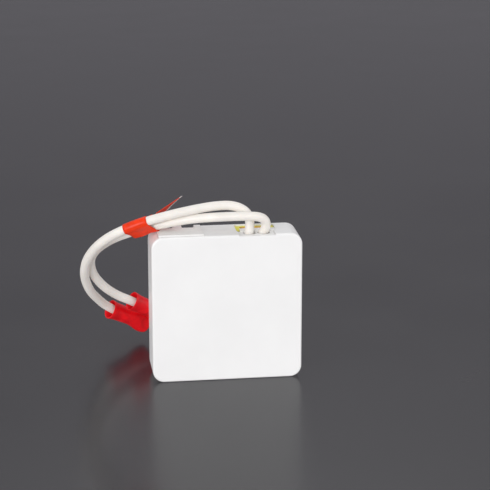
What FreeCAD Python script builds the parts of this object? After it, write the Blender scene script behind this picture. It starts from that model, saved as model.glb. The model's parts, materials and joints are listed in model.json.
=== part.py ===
import FreeCAD, Part
import math
import os

# Smart switch: a slim relay module with two screw terminals and two flying leads.
# Millimetres. X right and Z up as seen from the blank front, Y from the front to the rear.
# The origin is under the middle of the casing, on the surface that it stands on.

V = FreeCAD.Vector

# Casing
WIDTH = 52.0
HEIGHT = 52.0
DEPTH = 15.0
CORNER_RADIUS = 4.0
EDGE_RADIUS = 0.7
WALL = 1.2
COVER_DEPTH = 5.7
RIM_THICKNESS = 0.5
RIM_LENGTH = 1.1
FIT_GAP = 0.06
HOOK_WIDTH = 4.0
HOOK_THICKNESS = 0.7
HOOK_LENGTH = 4.6
HOOK_BARB = 0.35
HOOK_OFFSET = 12.0

# Circuit board and what carries it
BOARD_THICKNESS = 1.2
BOARD_SIDE_GAP = 1.5
BOARD_BOTTOM_GAP = 1.2
BOARD_TOP_GAP = 1.4
BOARD_RADIUS = 2.0
BOARD_AHEAD_OF_SEAM = 0.7
POST_RADIUS = 1.9
PIN_RADIUS = 0.9
PIN_LENGTH = 1.0
PIN_TIP = 0.6
POST_EDGE = 2.7
POST_END = 3.0
POST_HIGH_END = 3.8
POST_MID_DROP = 17.8

# Terminal block
BLOCK_INSET = 2.6
BLOCK_WIDTH = 15.5
BLOCK_LENGTH = 15.1
BLOCK_RISE = 0.5
BLOCK_PLATE = 1.5
POLE_OFFSET = 3.6
POLE_PITCH = 7.5
ENTRY_WIDTH = 4.4
ENTRY_REACH = 3.3
ENTRY_NOTCH = 4.2
CAGE_WIDTH = 5.0
CAGE_DEPTH = 4.0
CAGE_HEIGHT = 4.6
CAGE_WALL = 0.7
CAGE_GAP = 0.2
CAGE_TRAVEL = 1.5
SCREW_DROP = 9.0
SCREW_RADIUS = 1.45
SCREW_CLEARANCE = 0.08
HEAD_RADIUS = 2.1
HEAD_LENGTH = 1.3
HEAD_CLEARANCE = 0.2
SLOT_WIDTH = 0.7
SLOT_DEPTH = 0.7
BAR_WIDTH = 3.0
BAR_THICKNESS = 0.8
BAR_PIN = 0.9

# Leads, lead guide and the bay that they leave by
LEAD_DIAMETER = 3.2
CONDUCTOR_DIAMETER = 1.5
LEAD_OFFSET = 4.1
LEAD_PITCH = 4.9
GUIDE_LENGTH = 6.2
GUIDE_SINK = 0.4
GUIDE_SIDE = 2.2
GUIDE_TONGUE_SIDE = 1.1
GUIDE_PLATE = 0.4
GUIDE_REACH = 1.3
GUIDE_CORNER_GAP = 1.3
GUIDE_SLACK = 0.5
LEAD_FIT = 0.05
BAY_INSET = 8.4
BAY_WIDTH = 13.7
BAY_REAR_WALL = 1.4
LIP_NOTCH = 0.45
SOLDER_LENGTH = 3.6
STRIP_LENGTH = 5.0
PAD_RING = 0.45
SOLDER_FILM = 0.05

# Film capacitor beside the bay
CAP_LENGTH = 13.3
CAP_HEIGHT = 12.0
CAP_LEAD_SPACE = 0.9
CAP_SINK = 0.5
CAP_RIM = 0.8
CAP_SIDE_RIM = 1.6
RESIN_DEPTH = 2.5
RESIN_SINK = 0.3
CAP_PITCH = 10.0
CAP_PIN_DROP = 1.4
CAP_LEAD_DROP = 1.3
CAP_LEAD_RADIUS = 0.3

# Relay
RELAY_EDGE = 1.1
RELAY_LENGTH = 16.0
RELAY_RAISE = 9.2
RELAY_HEIGHT = 15.3
RELAY_CLEARANCE = 0.3
RELAY_WALL = 0.6
RELAY_BASE = 1.6
COIL_FROM_LEFT = 4.6
COIL_RADIUS = 2.6
COIL_LENGTH = 8.0
BOBBIN_FLANGE = 0.6
CORE_RADIUS = 1.0
YOKE_THICKNESS = 0.8
YOKE_WIDTH = 4.4
ARMATURE_GAP = 0.7
ARMATURE_PLATE = 0.8
CONTACT_GAP = 0.75
RIVET_RADIUS = 1.3
RIVET_THICKNESS = 0.6
SPRING_THICKNESS = 0.3
PIVOT_GAP = 0.1
RELAY_PIN = 0.8

# Supply and radio
MOUNT_GAP = 0.1
TRANSFORMER_EDGE = 0.9
TRANSFORMER_RAISE = 23.3
TRANSFORMER_WIDTH = 10.0
TRANSFORMER_HEIGHT = 10.6
TRANSFORMER_CLEARANCE = 0.5
SMOOTHING_CLEARANCE = 1.2
SMOOTHING_LENGTH = 11.5
SMOOTHING_X = 0.2
SMOOTHING_Z = 23.6
OUTPUT_RADIUS = 2.5
OUTPUT_LENGTH = 11.0
OUTPUT_X = 8.0
OUTPUT_Z = 23.8
CAN_LEAD = 0.3
INDUCTOR_X = 0.4
INDUCTOR_Z = 17.0
INDUCTOR_RADIUS = 2.9
INDUCTOR_HEIGHT = 4.6
DRIVER_X = 1.2
DRIVER_Z = 38.6
RECTIFIER_X = -14.0
RECTIFIER_Z = 30.0
RECTIFIER_PITCH = 2.5
REGULATOR_X = 13.0
REGULATOR_Z = 23.4
REGULATOR_WIDTH = 4.4
REGULATOR_HEIGHT = 2.4
REGULATOR_TAB = 1.6
PASSIVE_LEFT = -8.0
PASSIVE_BOTTOM = 14.0
PASSIVE_COLUMNS = 6
PASSIVE_ROWS = 4
PASSIVE_PITCH_X = 4.0
PASSIVE_PITCH_Z = 5.0
FUSE_RADIUS = 1.6
FUSE_LENGTH = 7.0
FUSE_X = -13.2
FUSE_Z = 33.6
VARISTOR_X = -4.2
VARISTOR_Z = 43.2
VARISTOR_CLEARANCE = 0.5
VARISTOR_THICKNESS = 3.0
RADIO_LEFT = 6.0
RADIO_WIDTH = 16.0
RADIO_BOTTOM = 9.6
RADIO_HEIGHT = 12.0
RADIO_THICKNESS = 0.8
SHIELD_HEIGHT = 2.0
SHIELD_WALL = 0.2
SHIELD_MARGIN = 1.2
ANTENNA_HEIGHT = 2.6

# Pairing button, switch and light pipe, on the rear
BUTTON_X = -1.6
BUTTON_Z = 6.4
BUTTON_RADIUS = 1.7
BUTTON_FLANGE = 0.6
BUTTON_CLEARANCE = 0.1
BUTTON_SINK = 0.3
BUTTON_TRAVEL = 0.4
SWITCH_SIDE = 4.5
SWITCH_HEIGHT = 3.4
PLUNGER_RADIUS = 1.1
PLUNGER_LENGTH = 1.2
PIPE_X = 4.0
PIPE_RADIUS = 1.0
PIPE_FIT = 0.05
LED_HEIGHT = 0.8

# Free leads: points chosen by hand from the collar to the crimp, one list for each lead
UPPER_ROUTE = [(8.0, -3.3, 51.6), (8.8, -2.0, 55.3), (7.5, -0.8, 58.7), (3.0, -0.6, 60.9), (-3.5, -0.9, 61.0),
               (-12.0, -1.8, 59.95), (-21.5, -2.5, 58.2), (-31.5, -2.5, 55.5), (-40.9, 1.6, 50.2),
               (-46.7, 9.0, 42.2), (-48.4, 16.6, 33.4), (-46.4, 24.4, 24.1), (-42.9, 31.2, 17.6),
               (-39.3, 34.6, 14.5), (-33.1, 36.9, 11.2)]
LOWER_ROUTE = [(12.9, -3.3, 51.6), (14.4, -3.9, 54.4), (12.5, -5.0, 57.5), (7.3, -5.2, 58.1), (-2.0, -3.8, 57.5),
               (-12.0, -1.2, 56.4), (-21.5, -0.1, 54.9), (-30.6, 2.3, 52.4), (-39.8, 7.8, 47.7),
               (-45.6, 14.4, 40.9), (-45.0, 20.8, 33.4), (-40.7, 25.8, 26.6), (-35.4, 29.6, 21.1),
               (-31.1, 31.2, 18.3), (-25.5, 33.2, 14.9)]
ARC_SHARE = 0.45
UPPER_WIDTH_AXIS = V(0.466, 0.184, 0.865)
LOWER_WIDTH_AXIS = V(0.518, 0.169, 0.838)

# Crimped connectors on the leads, sizes along their own axis from the mouth
SLEEVE_LENGTH = 17.0
SLEEVE_CORNER = 2.0
MOUTH_DIAMETER = 7.0
MOUTH_BORE = 5.4
BELL_LENGTH = 2.2
BARREL_DIAMETER = 6.2
BARREL_BORE = 4.4
BARREL_END = 8.6
BORE_END = 8.4
HOUSING_START = 12.8
HOUSING_WIDTH = 8.2
HOUSING_THICKNESS = 5.0
TAB_BORE_START = 9.6
TAB_BORE_WIDTH = 5.4
TAB_BORE_THICKNESS = 3.0
LEAD_SEAT = 5.8
CRIMP_RADIUS = 2.1
CRIMP_END = 8.2
TAB_WIDTH = 4.8
TAB_THICKNESS = 0.8
RECEPTACLE_START = 9.8
RECEPTACLE_WALL = 0.4
NECK_WIDTH = 3.2
ROLL_GAP = 1.6

# Marker label: a wrap round both leads and a flag
LABEL_CENTRE = V(-29.45, 0.05, 54.18)
LABEL_AXIS = V(0.908, -0.25, 0.337)
LABEL_SPREAD_AXIS = V(0.396, 0.778, -0.487)
LABEL_LENGTH = 9.0
LABEL_WIDTH = 9.9
LABEL_DEPTH = 4.8
LABEL_THICKNESS = 0.3
FLAG_TIP = V(-13.9, 7.0, 62.8)
FLAG_ALONG = V(-9.0, -7.0, -3.6)
FLAG_ACROSS = V(-3.3, 6.3, -6.0)
FLAG_WIDTH = 8.0
FLAG_UPPER_EDGE = 12.0
FLAG_LOWER_EDGE = 15.0

os.makedirs("parts", exist_ok=True)

# Derived places that several pieces share
FRONT = -DEPTH / 2
REAR = DEPTH / 2
SEAM = FRONT + COVER_DEPTH
INNER_FRONT = FRONT + WALL
INNER_REAR = REAR - WALL
INNER_SIDE = WIDTH / 2 - WALL
INNER_TOP = HEIGHT - WALL
BOARD_FRONT = SEAM - BOARD_AHEAD_OF_SEAM
BOARD_REAR = BOARD_FRONT + BOARD_THICKNESS
BOARD_SIDE = INNER_SIDE - BOARD_SIDE_GAP
BOARD_BOTTOM = WALL + BOARD_BOTTOM_GAP
BOARD_TOP = INNER_TOP - BOARD_TOP_GAP
SEAT = BOARD_REAR + MOUNT_GAP
ROOM = INNER_REAR - SEAT
BLOCK_TOP = HEIGHT + BLOCK_RISE
BLOCK_BOTTOM = BLOCK_TOP - BLOCK_LENGTH
BLOCK_LEFT = BLOCK_INSET - WIDTH / 2
BLOCK_RIGHT = BLOCK_LEFT + BLOCK_WIDTH
BLOCK_REAR = INNER_REAR - MOUNT_GAP
BLOCK_FRONT = INNER_FRONT + FIT_GAP * 2
POLES = (BLOCK_LEFT + POLE_OFFSET, BLOCK_LEFT + POLE_OFFSET + POLE_PITCH)
ENTRY_FRONT = INNER_REAR - ENTRY_REACH
SCREW_HEIGHT = HEIGHT - SCREW_DROP
CAGE_FRONT = SEAT + CAGE_GAP
CAGE_BOTTOM = SCREW_HEIGHT - CAGE_HEIGHT / 2
BAR_REAR = CAGE_FRONT + CAGE_DEPTH - CAGE_WALL
BAR_FRONT = BAR_REAR - BAR_THICKNESS
HEAD_FRONT = CAGE_FRONT + CAGE_DEPTH + CAGE_TRAVEL + CAGE_GAP
LEAD_Y = BOARD_FRONT - CONDUCTOR_DIAMETER / 2 - SOLDER_FILM
BAY_RIGHT = WIDTH / 2 - BAY_INSET
BAY_LEFT = BAY_RIGHT - BAY_WIDTH
BAY_REAR = REAR - BAY_REAR_WALL
LEADS = (BAY_LEFT + LEAD_OFFSET, BAY_LEFT + LEAD_OFFSET + LEAD_PITCH)
LEAD_RADIUS = LEAD_DIAMETER / 2
GUIDE_TOP = HEIGHT - GUIDE_SINK
GUIDE_BOTTOM = GUIDE_TOP - GUIDE_LENGTH
GUIDE_LEFT = LEADS[0] - LEAD_RADIUS - GUIDE_SIDE
GUIDE_RIGHT = LEADS[1] + LEAD_RADIUS + GUIDE_SIDE
TONGUE_LEFT = GUIDE_LEFT + GUIDE_TONGUE_SIDE
TONGUE_RIGHT = GUIDE_RIGHT - GUIDE_TONGUE_SIDE
TONGUE_REAR = BOARD_REAR + FIT_GAP
CAP_LEFT = BAY_LEFT + (BAY_WIDTH - CAP_LENGTH) / 2
CAP_REAR = BAY_REAR - MOUNT_GAP
CAP_FRONT = BOARD_REAR + CAP_LEAD_SPACE
CAP_TOP = HEIGHT - CAP_SINK
POST_X = BOARD_SIDE - POST_EDGE
POST_LOW = BOARD_BOTTOM + POST_END
POST_HIGH = BOARD_TOP - POST_HIGH_END
POST_MID = BOARD_TOP - POST_MID_DROP
POSTS = ((-POST_X, POST_LOW), (POST_X, POST_LOW), (POST_X, POST_HIGH), (-POST_X, POST_MID))
HOOKS = (HEIGHT / 2 - HOOK_OFFSET, HEIGHT / 2 + HOOK_OFFSET - HOOK_WIDTH)
RELAY_LEFT = RELAY_EDGE - BOARD_SIDE
RELAY_BOTTOM = BOARD_BOTTOM + RELAY_RAISE
RELAY_DEPTH = ROOM - RELAY_CLEARANCE
TRANSFORMER_X = BOARD_SIDE - TRANSFORMER_EDGE - TRANSFORMER_WIDTH / 2
TRANSFORMER_Z = BOARD_BOTTOM + TRANSFORMER_RAISE + TRANSFORMER_HEIGHT / 2
TRANSFORMER_DEPTH = ROOM - TRANSFORMER_CLEARANCE
SMOOTHING_RADIUS = (ROOM - SMOOTHING_CLEARANCE) / 2
VARISTOR_RADIUS = (ROOM - VARISTOR_CLEARANCE) / 2


def box(x0, x1, y0, y1, z0, z1):
    return Part.makeBox(x1 - x0, y1 - y0, z1 - z0, V(x0, y0, z0))


def rod(base, axis, radius, length):
    return Part.makeCylinder(radius, length, base, axis)


def rod_y(x, z, radius, y0, y1):
    return rod(V(x, y0, z), V(0, 1, 0), radius, y1 - y0)


def rod_z(x, y, radius, z0, z1):
    return rod(V(x, y, z0), V(0, 0, 1), radius, z1 - z0)


def slab(x0, x1, z0, z1, y0, y1, radius):
    """Block with its four upright edges along Y rounded."""
    solid = box(x0, x1, y0, y1, z0, z1)
    edges = [e for e in solid.Edges if abs(e.tangentAt(e.FirstParameter).y) > 0.9]
    return solid.makeFillet(radius, edges)


def casing_slab(inset, y0, y1):
    return slab(-WIDTH / 2 + inset, WIDTH / 2 - inset, inset, HEIGHT - inset, y0, y1, CORNER_RADIUS - inset)


def soften(solid, y_plane, radius):
    """Round the outer edges that lie in one plane across Y."""
    edges = [e for e in solid.Edges if all(abs(v.Point.y - y_plane) < 1e-6 for v in e.Vertexes)]
    return solid.makeFillet(radius, edges)


def profile_x(points, x0, x1):
    """Outline in Y and Z, extruded along X."""
    wire = Part.makePolygon([V(x0, y, z) for y, z in points + points[:1]])
    return Part.Face(wire).extrude(V(x1 - x0, 0, 0))


def fuse(first, *others):
    return first.multiFuse(list(others)).removeSplitter()


def save(name, *solids):
    shape = solids[0] if len(solids) == 1 else Part.makeCompound(list(solids))
    if not shape.isValid():
        raise ValueError(name + " is not a valid shape")
    shape.exportStep("parts/" + name + ".step")


def make_front_cover():
    shell = soften(casing_slab(0.0, FRONT, SEAM), FRONT, EDGE_RADIUS)
    shell = shell.cut(casing_slab(WALL, INNER_FRONT, SEAM + 1))
    rim = casing_slab(WALL - RIM_THICKNESS, SEAM - 0.8, SEAM + RIM_LENGTH)
    rim = rim.cut(casing_slab(WALL, SEAM - 2, SEAM + RIM_LENGTH + 1))
    shell = fuse(shell, rim)
    block_slot = box(BLOCK_LEFT - FIT_GAP, BLOCK_RIGHT + FIT_GAP, INNER_FRONT, SEAM + 3, INNER_TOP - 1, HEIGHT + 1)
    lead_slot = box(GUIDE_LEFT - FIT_GAP, GUIDE_RIGHT + FIT_GAP, INNER_FRONT, SEAM + 3, INNER_TOP - 1, HEIGHT + 1)
    rear_slot = box(BAY_LEFT, BAY_RIGHT, SEAM, SEAM + 3, INNER_TOP - 1, HEIGHT + 1)
    lip = box(GUIDE_LEFT - FIT_GAP, GUIDE_RIGHT + FIT_GAP, FRONT - 1, INNER_FRONT + 1, HEIGHT - LIP_NOTCH,
              HEIGHT + 1)
    shell = shell.cut(block_slot.multiFuse([lead_slot, rear_slot, lip]))
    posts = []
    for x, z in POSTS:
        post = rod_y(x, z, POST_RADIUS, INNER_FRONT - 0.2, BOARD_FRONT)
        posts.append(post.cut(rod_y(x, z, PIN_RADIUS + 0.2, BOARD_FRONT - PIN_LENGTH, BOARD_FRONT)))
    hooks = []
    for side in (-1, 1):
        for z in HOOKS:
            outer = side * (INNER_SIDE - FIT_GAP)
            inner = outer - side * HOOK_THICKNESS
            tip = SEAM + HOOK_LENGTH
            points = [(outer, tip - 1.6), (outer + side * HOOK_BARB, tip - 1.4), (outer, tip), (inner, tip),
                      (inner, INNER_FRONT - 0.2), (outer + side * 0.3, INNER_FRONT - 0.2),
                       (outer + side * 0.3, SEAM - 1.0),
                      (outer, SEAM - 0.6)]
            wire = Part.makePolygon([V(x, y, z - HOOK_WIDTH / 2) for x, y in points + points[:1]])
            hooks.append(Part.Face(wire).extrude(V(0, 0, HOOK_WIDTH)))
    save("front_cover", fuse(shell, *posts, *hooks))


def make_rear_housing():
    shell = soften(casing_slab(0.0, SEAM, REAR), REAR, EDGE_RADIUS)
    shell = shell.cut(casing_slab(WALL, SEAM - 1, INNER_REAR))
    groove = casing_slab(WALL - RIM_THICKNESS - FIT_GAP, SEAM - 1, SEAM + RIM_LENGTH + FIT_GAP)
    shell = shell.cut(groove)
    block_slot = box(BLOCK_LEFT - FIT_GAP, BLOCK_RIGHT + FIT_GAP, SEAM - 1, INNER_REAR, INNER_TOP - 1, HEIGHT + 1)
    bay = box(BAY_LEFT, BAY_RIGHT, SEAM - 1, BAY_REAR, INNER_TOP - 1, HEIGHT + 1)
    cuts = [block_slot, bay]
    for x in POLES:
        cuts.append(box(x - ENTRY_WIDTH / 2, x + ENTRY_WIDTH / 2, INNER_REAR - 1, REAR + 1, HEIGHT - ENTRY_NOTCH,
                        HEIGHT + 1))
        cuts.append(rod_y(x, SCREW_HEIGHT, HEAD_RADIUS + HEAD_CLEARANCE, INNER_REAR - 1, REAR + 1))
    cuts.append(rod_y(BUTTON_X, BUTTON_Z, BUTTON_RADIUS + BUTTON_CLEARANCE, INNER_REAR - 1, REAR + 1))
    cuts.append(rod_y(PIPE_X, BUTTON_Z, PIPE_RADIUS + PIPE_FIT, INNER_REAR - 1, REAR + 1))
    for side in (-1, 1):
        for z in HOOKS:
            inner = side * (INNER_SIDE - 0.5)
            outer = side * (INNER_SIDE + HOOK_BARB + 0.1)
            tip = SEAM + HOOK_LENGTH
            cuts.append(box(min(inner, outer), max(inner, outer), tip - 1.8, tip + 0.2,
                            z - HOOK_WIDTH / 2 - 0.2, z + HOOK_WIDTH / 2 + 0.2))
    shell = shell.cut(cuts[0].multiFuse(cuts[1:]))
    posts = []
    for x, z in POSTS:
        posts.append(rod_y(x, z, POST_RADIUS, BOARD_REAR, INNER_REAR + 0.2))
        posts.append(rod_y(x, z, PIN_RADIUS, BOARD_REAR - PIN_LENGTH - PIN_TIP, BOARD_REAR + 0.2))
    save("rear_housing", fuse(shell, *posts))


def make_board():
    board = slab(-BOARD_SIDE, BOARD_SIDE, BOARD_BOTTOM, BOARD_TOP, BOARD_FRONT, BOARD_REAR, BOARD_RADIUS)
    cuts = [box(TONGUE_LEFT - FIT_GAP, TONGUE_RIGHT + FIT_GAP, BOARD_FRONT - 1, BOARD_REAR + 1,
                GUIDE_BOTTOM - 0.2, BOARD_TOP + 1)]
    for x, z in POSTS:
        cuts.append(rod_y(x, z, PIN_RADIUS + 0.1, BOARD_FRONT - 1, BOARD_REAR + 1))
    for x, z, radius in board_holes():
        cuts.append(rod_y(x, z, radius + 0.1, BOARD_FRONT - 1, BOARD_REAR + 1))
    save("circuit_board", board.cut(cuts[0].multiFuse(cuts[1:])))


def bar_pins():
    return [(x + side * 1.1, BLOCK_BOTTOM + 0.9) for x in POLES for side in (-1, 1)]


def relay_pins():
    left = RELAY_LEFT
    return [(left + 2.4, RELAY_BOTTOM - 1.4), (left + 6.8, RELAY_BOTTOM - 1.4), (left + 10.4, RELAY_BOTTOM - 1.4),
            (left + 12.4, RELAY_BOTTOM - 1.4)]


def cap_pins():
    middle = BAY_LEFT + BAY_WIDTH / 2
    return [(middle + side * CAP_PITCH / 2, GUIDE_BOTTOM - CAP_PIN_DROP) for side in (-1, 1)]


def can_pins(x, z, radius):
    return [(x - radius * 0.4, z - 1.6), (x + radius * 0.4, z - 1.6)]


def fuse_pins():
    return [(FUSE_X - FUSE_LENGTH / 2 - 1.5, FUSE_Z), (FUSE_X + FUSE_LENGTH / 2 + 1.5, FUSE_Z)]


def varistor_pins():
    return [(VARISTOR_X, VARISTOR_Z - 2.5), (VARISTOR_X, VARISTOR_Z + 2.5)]


def transformer_pins():
    return [(TRANSFORMER_X + side * (TRANSFORMER_WIDTH / 2 - 1.5),
             TRANSFORMER_Z + end * (TRANSFORMER_HEIGHT / 2 - 0.7))
            for side in (-1, 1) for end in (-1, 1)]


def board_holes():
    holes = [(x, z, BAR_PIN / 2) for x, z in bar_pins()]
    holes += [(x, z, RELAY_PIN / 2) for x, z in relay_pins()]
    holes += [(x, z, CAP_LEAD_RADIUS) for x, z in cap_pins() + fuse_pins() + varistor_pins()]
    holes += [(x, z, CAN_LEAD) for x, z in can_pins(SMOOTHING_X, SMOOTHING_Z, SMOOTHING_RADIUS)]
    holes += [(x, z, CAN_LEAD) for x, z in can_pins(OUTPUT_X, OUTPUT_Z, OUTPUT_RADIUS)]
    holes += [(x, z, CAN_LEAD) for x, z in transformer_pins()]
    return holes


def make_terminal_block():
    body = box(BLOCK_LEFT, BLOCK_RIGHT, SEAT, BLOCK_REAR, BLOCK_BOTTOM, BLOCK_TOP)
    plate = box(BLOCK_LEFT, BLOCK_RIGHT, BLOCK_FRONT, SEAT + 1, BLOCK_TOP - BLOCK_PLATE, BLOCK_TOP)
    body = fuse(body, plate)
    cuts = []
    cage_top = CAGE_BOTTOM + CAGE_HEIGHT
    for x in POLES:
        half = ENTRY_WIDTH / 2
        funnel = [(ENTRY_FRONT, BLOCK_TOP + 1), (BLOCK_REAR + 1, BLOCK_TOP + 1),
                  (BLOCK_REAR + 1, HEIGHT - ENTRY_NOTCH), (BAR_FRONT, cage_top + CAGE_GAP),
                  (BAR_FRONT, cage_top - 1), (CAGE_FRONT + CAGE_WALL, cage_top - 1),
                  (CAGE_FRONT + CAGE_WALL, cage_top + CAGE_GAP), (ENTRY_FRONT, BLOCK_TOP - 1.5)]
        cuts.append(profile_x(funnel, x - half, x + half))
        cuts.append(box(x - CAGE_WIDTH / 2 - CAGE_GAP, x + CAGE_WIDTH / 2 + CAGE_GAP, CAGE_FRONT - CAGE_GAP,
                        HEAD_FRONT, CAGE_BOTTOM - CAGE_GAP, cage_top + CAGE_GAP))
        cuts.append(rod_y(x, SCREW_HEIGHT, HEAD_RADIUS + HEAD_CLEARANCE, HEAD_FRONT - 0.1, BLOCK_REAR + 1))
        cuts.append(box(x - BAR_WIDTH / 2 - FIT_GAP, x + BAR_WIDTH / 2 + FIT_GAP, BAR_FRONT - FIT_GAP,
                        BAR_REAR + FIT_GAP, BLOCK_BOTTOM - 1, cage_top + CAGE_GAP))
        cuts.append(box(x - BAR_WIDTH / 2 - FIT_GAP, x + BAR_WIDTH / 2 + FIT_GAP, SEAT - 1, BAR_REAR + FIT_GAP,
                        BLOCK_BOTTOM - 1, BLOCK_BOTTOM + 1.5))
    block = body.cut(cuts[0].multiFuse(cuts[1:]))
    edges = [e for e in block.Edges if all(abs(v.Point.z - BLOCK_TOP) < 1e-6 for v in e.Vertexes)
             and all(abs(v.Point.y - BLOCK_FRONT) < 1e-6 for v in e.Vertexes)]
    save("terminal_block", block.makeFillet(0.3, edges))


def make_terminal_metal():
    bars = []
    for x in POLES:
        bar = box(x - BAR_WIDTH / 2, x + BAR_WIDTH / 2, BAR_FRONT, BAR_REAR, BLOCK_BOTTOM + 0.4,
                  CAGE_BOTTOM + CAGE_HEIGHT)
        foot = box(x - BAR_WIDTH / 2, x + BAR_WIDTH / 2, SEAT + 0.5, BAR_REAR, BLOCK_BOTTOM + 0.4,
                   BLOCK_BOTTOM + 0.4 + BAR_THICKNESS)
        pins = [rod_y(px, pz, BAR_PIN / 2, BOARD_FRONT - 0.8, SEAT + 0.9)
                for px, pz in bar_pins() if abs(px - x) < 2]
        bars.append(fuse(bar, foot, *pins))
    save("terminal_bars", *bars)
    for number, x in enumerate(POLES, 1):
        side = CAGE_WIDTH / 2
        ring = box(x - side, x + side, CAGE_FRONT, CAGE_FRONT + CAGE_DEPTH, CAGE_BOTTOM, CAGE_BOTTOM + CAGE_HEIGHT)
        hollow = box(x - side + CAGE_WALL, x + side - CAGE_WALL, CAGE_FRONT + CAGE_WALL, BAR_REAR + 0.02,
                     CAGE_BOTTOM - 1, CAGE_BOTTOM + CAGE_HEIGHT + 1)
        thread = rod_y(x, SCREW_HEIGHT, SCREW_RADIUS + SCREW_CLEARANCE, BAR_REAR - 0.5, CAGE_FRONT + CAGE_DEPTH + 1)
        save("clamp_cage_%d" % number, ring.cut(hollow.multiFuse([thread])))
        shank = rod_y(x, SCREW_HEIGHT, SCREW_RADIUS, BAR_REAR + FIT_GAP, HEAD_FRONT + 0.1)
        head = rod_y(x, SCREW_HEIGHT, HEAD_RADIUS, HEAD_FRONT, HEAD_FRONT + HEAD_LENGTH)
        slot = box(x - HEAD_RADIUS - 1, x + HEAD_RADIUS + 1, HEAD_FRONT + HEAD_LENGTH - SLOT_DEPTH, REAR,
                   SCREW_HEIGHT - SLOT_WIDTH / 2, SCREW_HEIGHT + SLOT_WIDTH / 2)
        save("terminal_screw_%d" % number, fuse(shank, head).cut(slot))


def make_lead_guide():
    top = INNER_TOP - 0.1
    back = TONGUE_REAR
    tongue = box(TONGUE_LEFT, TONGUE_RIGHT, BOARD_FRONT - 0.5, back, GUIDE_BOTTOM, top)
    flange = box(GUIDE_LEFT, GUIDE_RIGHT, INNER_FRONT + FIT_GAP, BOARD_FRONT - FIT_GAP, GUIDE_BOTTOM, top)
    cap = box(GUIDE_LEFT, GUIDE_RIGHT, INNER_FRONT + FIT_GAP, back, top - 0.1, GUIDE_TOP)
    plate = box(BAY_LEFT + GUIDE_CORNER_GAP, BAY_RIGHT - FIT_GAP, SEAM + FIT_GAP, GUIDE_REACH, GUIDE_TOP,
                GUIDE_TOP + GUIDE_PLATE)
    guide = fuse(tongue, flange, cap, plate)
    for x in LEADS:
        bore = LEAD_RADIUS + LEAD_FIT
        guide = guide.cut(rod_z(x, LEAD_Y, bore, GUIDE_BOTTOM - 1, HEIGHT + 1))
        guide = guide.cut(rod_z(x + GUIDE_SLACK / 2, LEAD_Y, bore + GUIDE_SLACK, GUIDE_TOP - 2 * GUIDE_SLACK,
                                HEIGHT + 1))
    save("lead_guide", guide)


def past_exit(route):
    """Everything past the plane where a free lead starts, square to its first run."""
    start, onward = V(*route[0]), V(*route[1])
    side = 4 * LEAD_DIAMETER
    cube = Part.makeBox(side, side, side, V(-side / 2, -side / 2, 0))
    cube.Placement = FreeCAD.Placement(start, FreeCAD.Rotation(V(0, 0, 1), onward - start))
    return cube


def make_inner_leads():
    shells, ends, solder = [], [], []
    for x, route in zip(LEADS, (UPPER_ROUTE, LOWER_ROUTE)):
        shell = rod_z(x, LEAD_Y, LEAD_RADIUS, GUIDE_BOTTOM, GUIDE_TOP + LEAD_RADIUS)
        shells.append(shell.cut(past_exit(route)))
        conductor = rod_z(x, LEAD_Y, CONDUCTOR_DIAMETER / 2, GUIDE_BOTTOM - STRIP_LENGTH, GUIDE_BOTTOM)
        ends.append(conductor)
        bottom = GUIDE_BOTTOM - STRIP_LENGTH + 0.4
        blob = rod_z(x, LEAD_Y, CONDUCTOR_DIAMETER * 0.8, bottom, bottom + SOLDER_LENGTH)
        keep = box(x - 3, x + 3, LEAD_Y - 3, BOARD_FRONT, bottom - 1, bottom + SOLDER_LENGTH + 1)
        solder.append(blob.common(keep).cut(conductor))
    save("lead_inner_ends", *shells)
    save("lead_conductors", *ends)
    for x, z, radius in board_holes():
        ball = Part.makeCone(radius + PAD_RING, radius + 0.15, 0.6, V(x, BOARD_FRONT, z), V(0, -1, 0))
        solder.append(ball.cut(rod_y(x, z, radius, BOARD_FRONT - 2, BOARD_FRONT + 1)))
    save("solder_joints", *solder)


def make_film_capacitor():
    case = box(CAP_LEFT, CAP_LEFT + CAP_LENGTH, CAP_FRONT, CAP_REAR, CAP_TOP - CAP_HEIGHT, CAP_TOP)
    case = case.makeFillet(0.4, [e for e in case.Edges if abs(e.tangentAt(e.FirstParameter).z) > 0.9])
    well = box(CAP_LEFT + CAP_SIDE_RIM, CAP_LEFT + CAP_LENGTH - CAP_SIDE_RIM,
               CAP_FRONT + CAP_RIM, CAP_REAR - CAP_RIM,
               CAP_TOP - RESIN_DEPTH, CAP_TOP + 1)
    resin = well.common(box(-WIDTH, WIDTH, -DEPTH, DEPTH, 0, CAP_TOP - RESIN_SINK))
    case = case.cut(well)
    run_y = (TONGUE_REAR + CAP_FRONT) / 2
    run_z = CAP_TOP - CAP_LEAD_DROP
    leads = []
    for x, z in cap_pins():
        points = [V(x, CAP_FRONT + 2 * CAP_RIM, run_z), V(x, run_y, run_z), V(x, run_y, z),
                  V(x, BOARD_FRONT - 0.8, z)]
        leads.append(bent_rod(points, CAP_LEAD_RADIUS, 0.32))
    for lead in leads:
        resin = resin.cut(lead)
        case = case.cut(lead)
    save("film_capacitor_case", case)
    save("film_capacitor_resin", resin)
    save("film_capacitor_leads", *leads)


def bent_rod(points, radius, bend):
    """Round rod along straight runs with small equal bends at the corners."""
    edges, start = [], points[0]
    for before, corner, after in zip(points, points[1:], points[2:]):
        back = (before - corner).normalize()
        on = (after - corner).normalize()
        enter, leave = corner + back * bend, corner + on * bend
        middle = corner + (back + on).normalize() * bend * (math.sqrt(2) - 1)
        edges += [Part.LineSegment(start, enter).toShape(), Part.Arc(enter, middle, leave).toShape()]
        start = leave
    edges.append(Part.LineSegment(start, points[-1]).toShape())
    path = Part.Wire(edges)
    ring = Part.Wire([Part.makeCircle(radius, points[0], points[1] - points[0])])
    return path.makePipeShell([ring], True, False)


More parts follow.
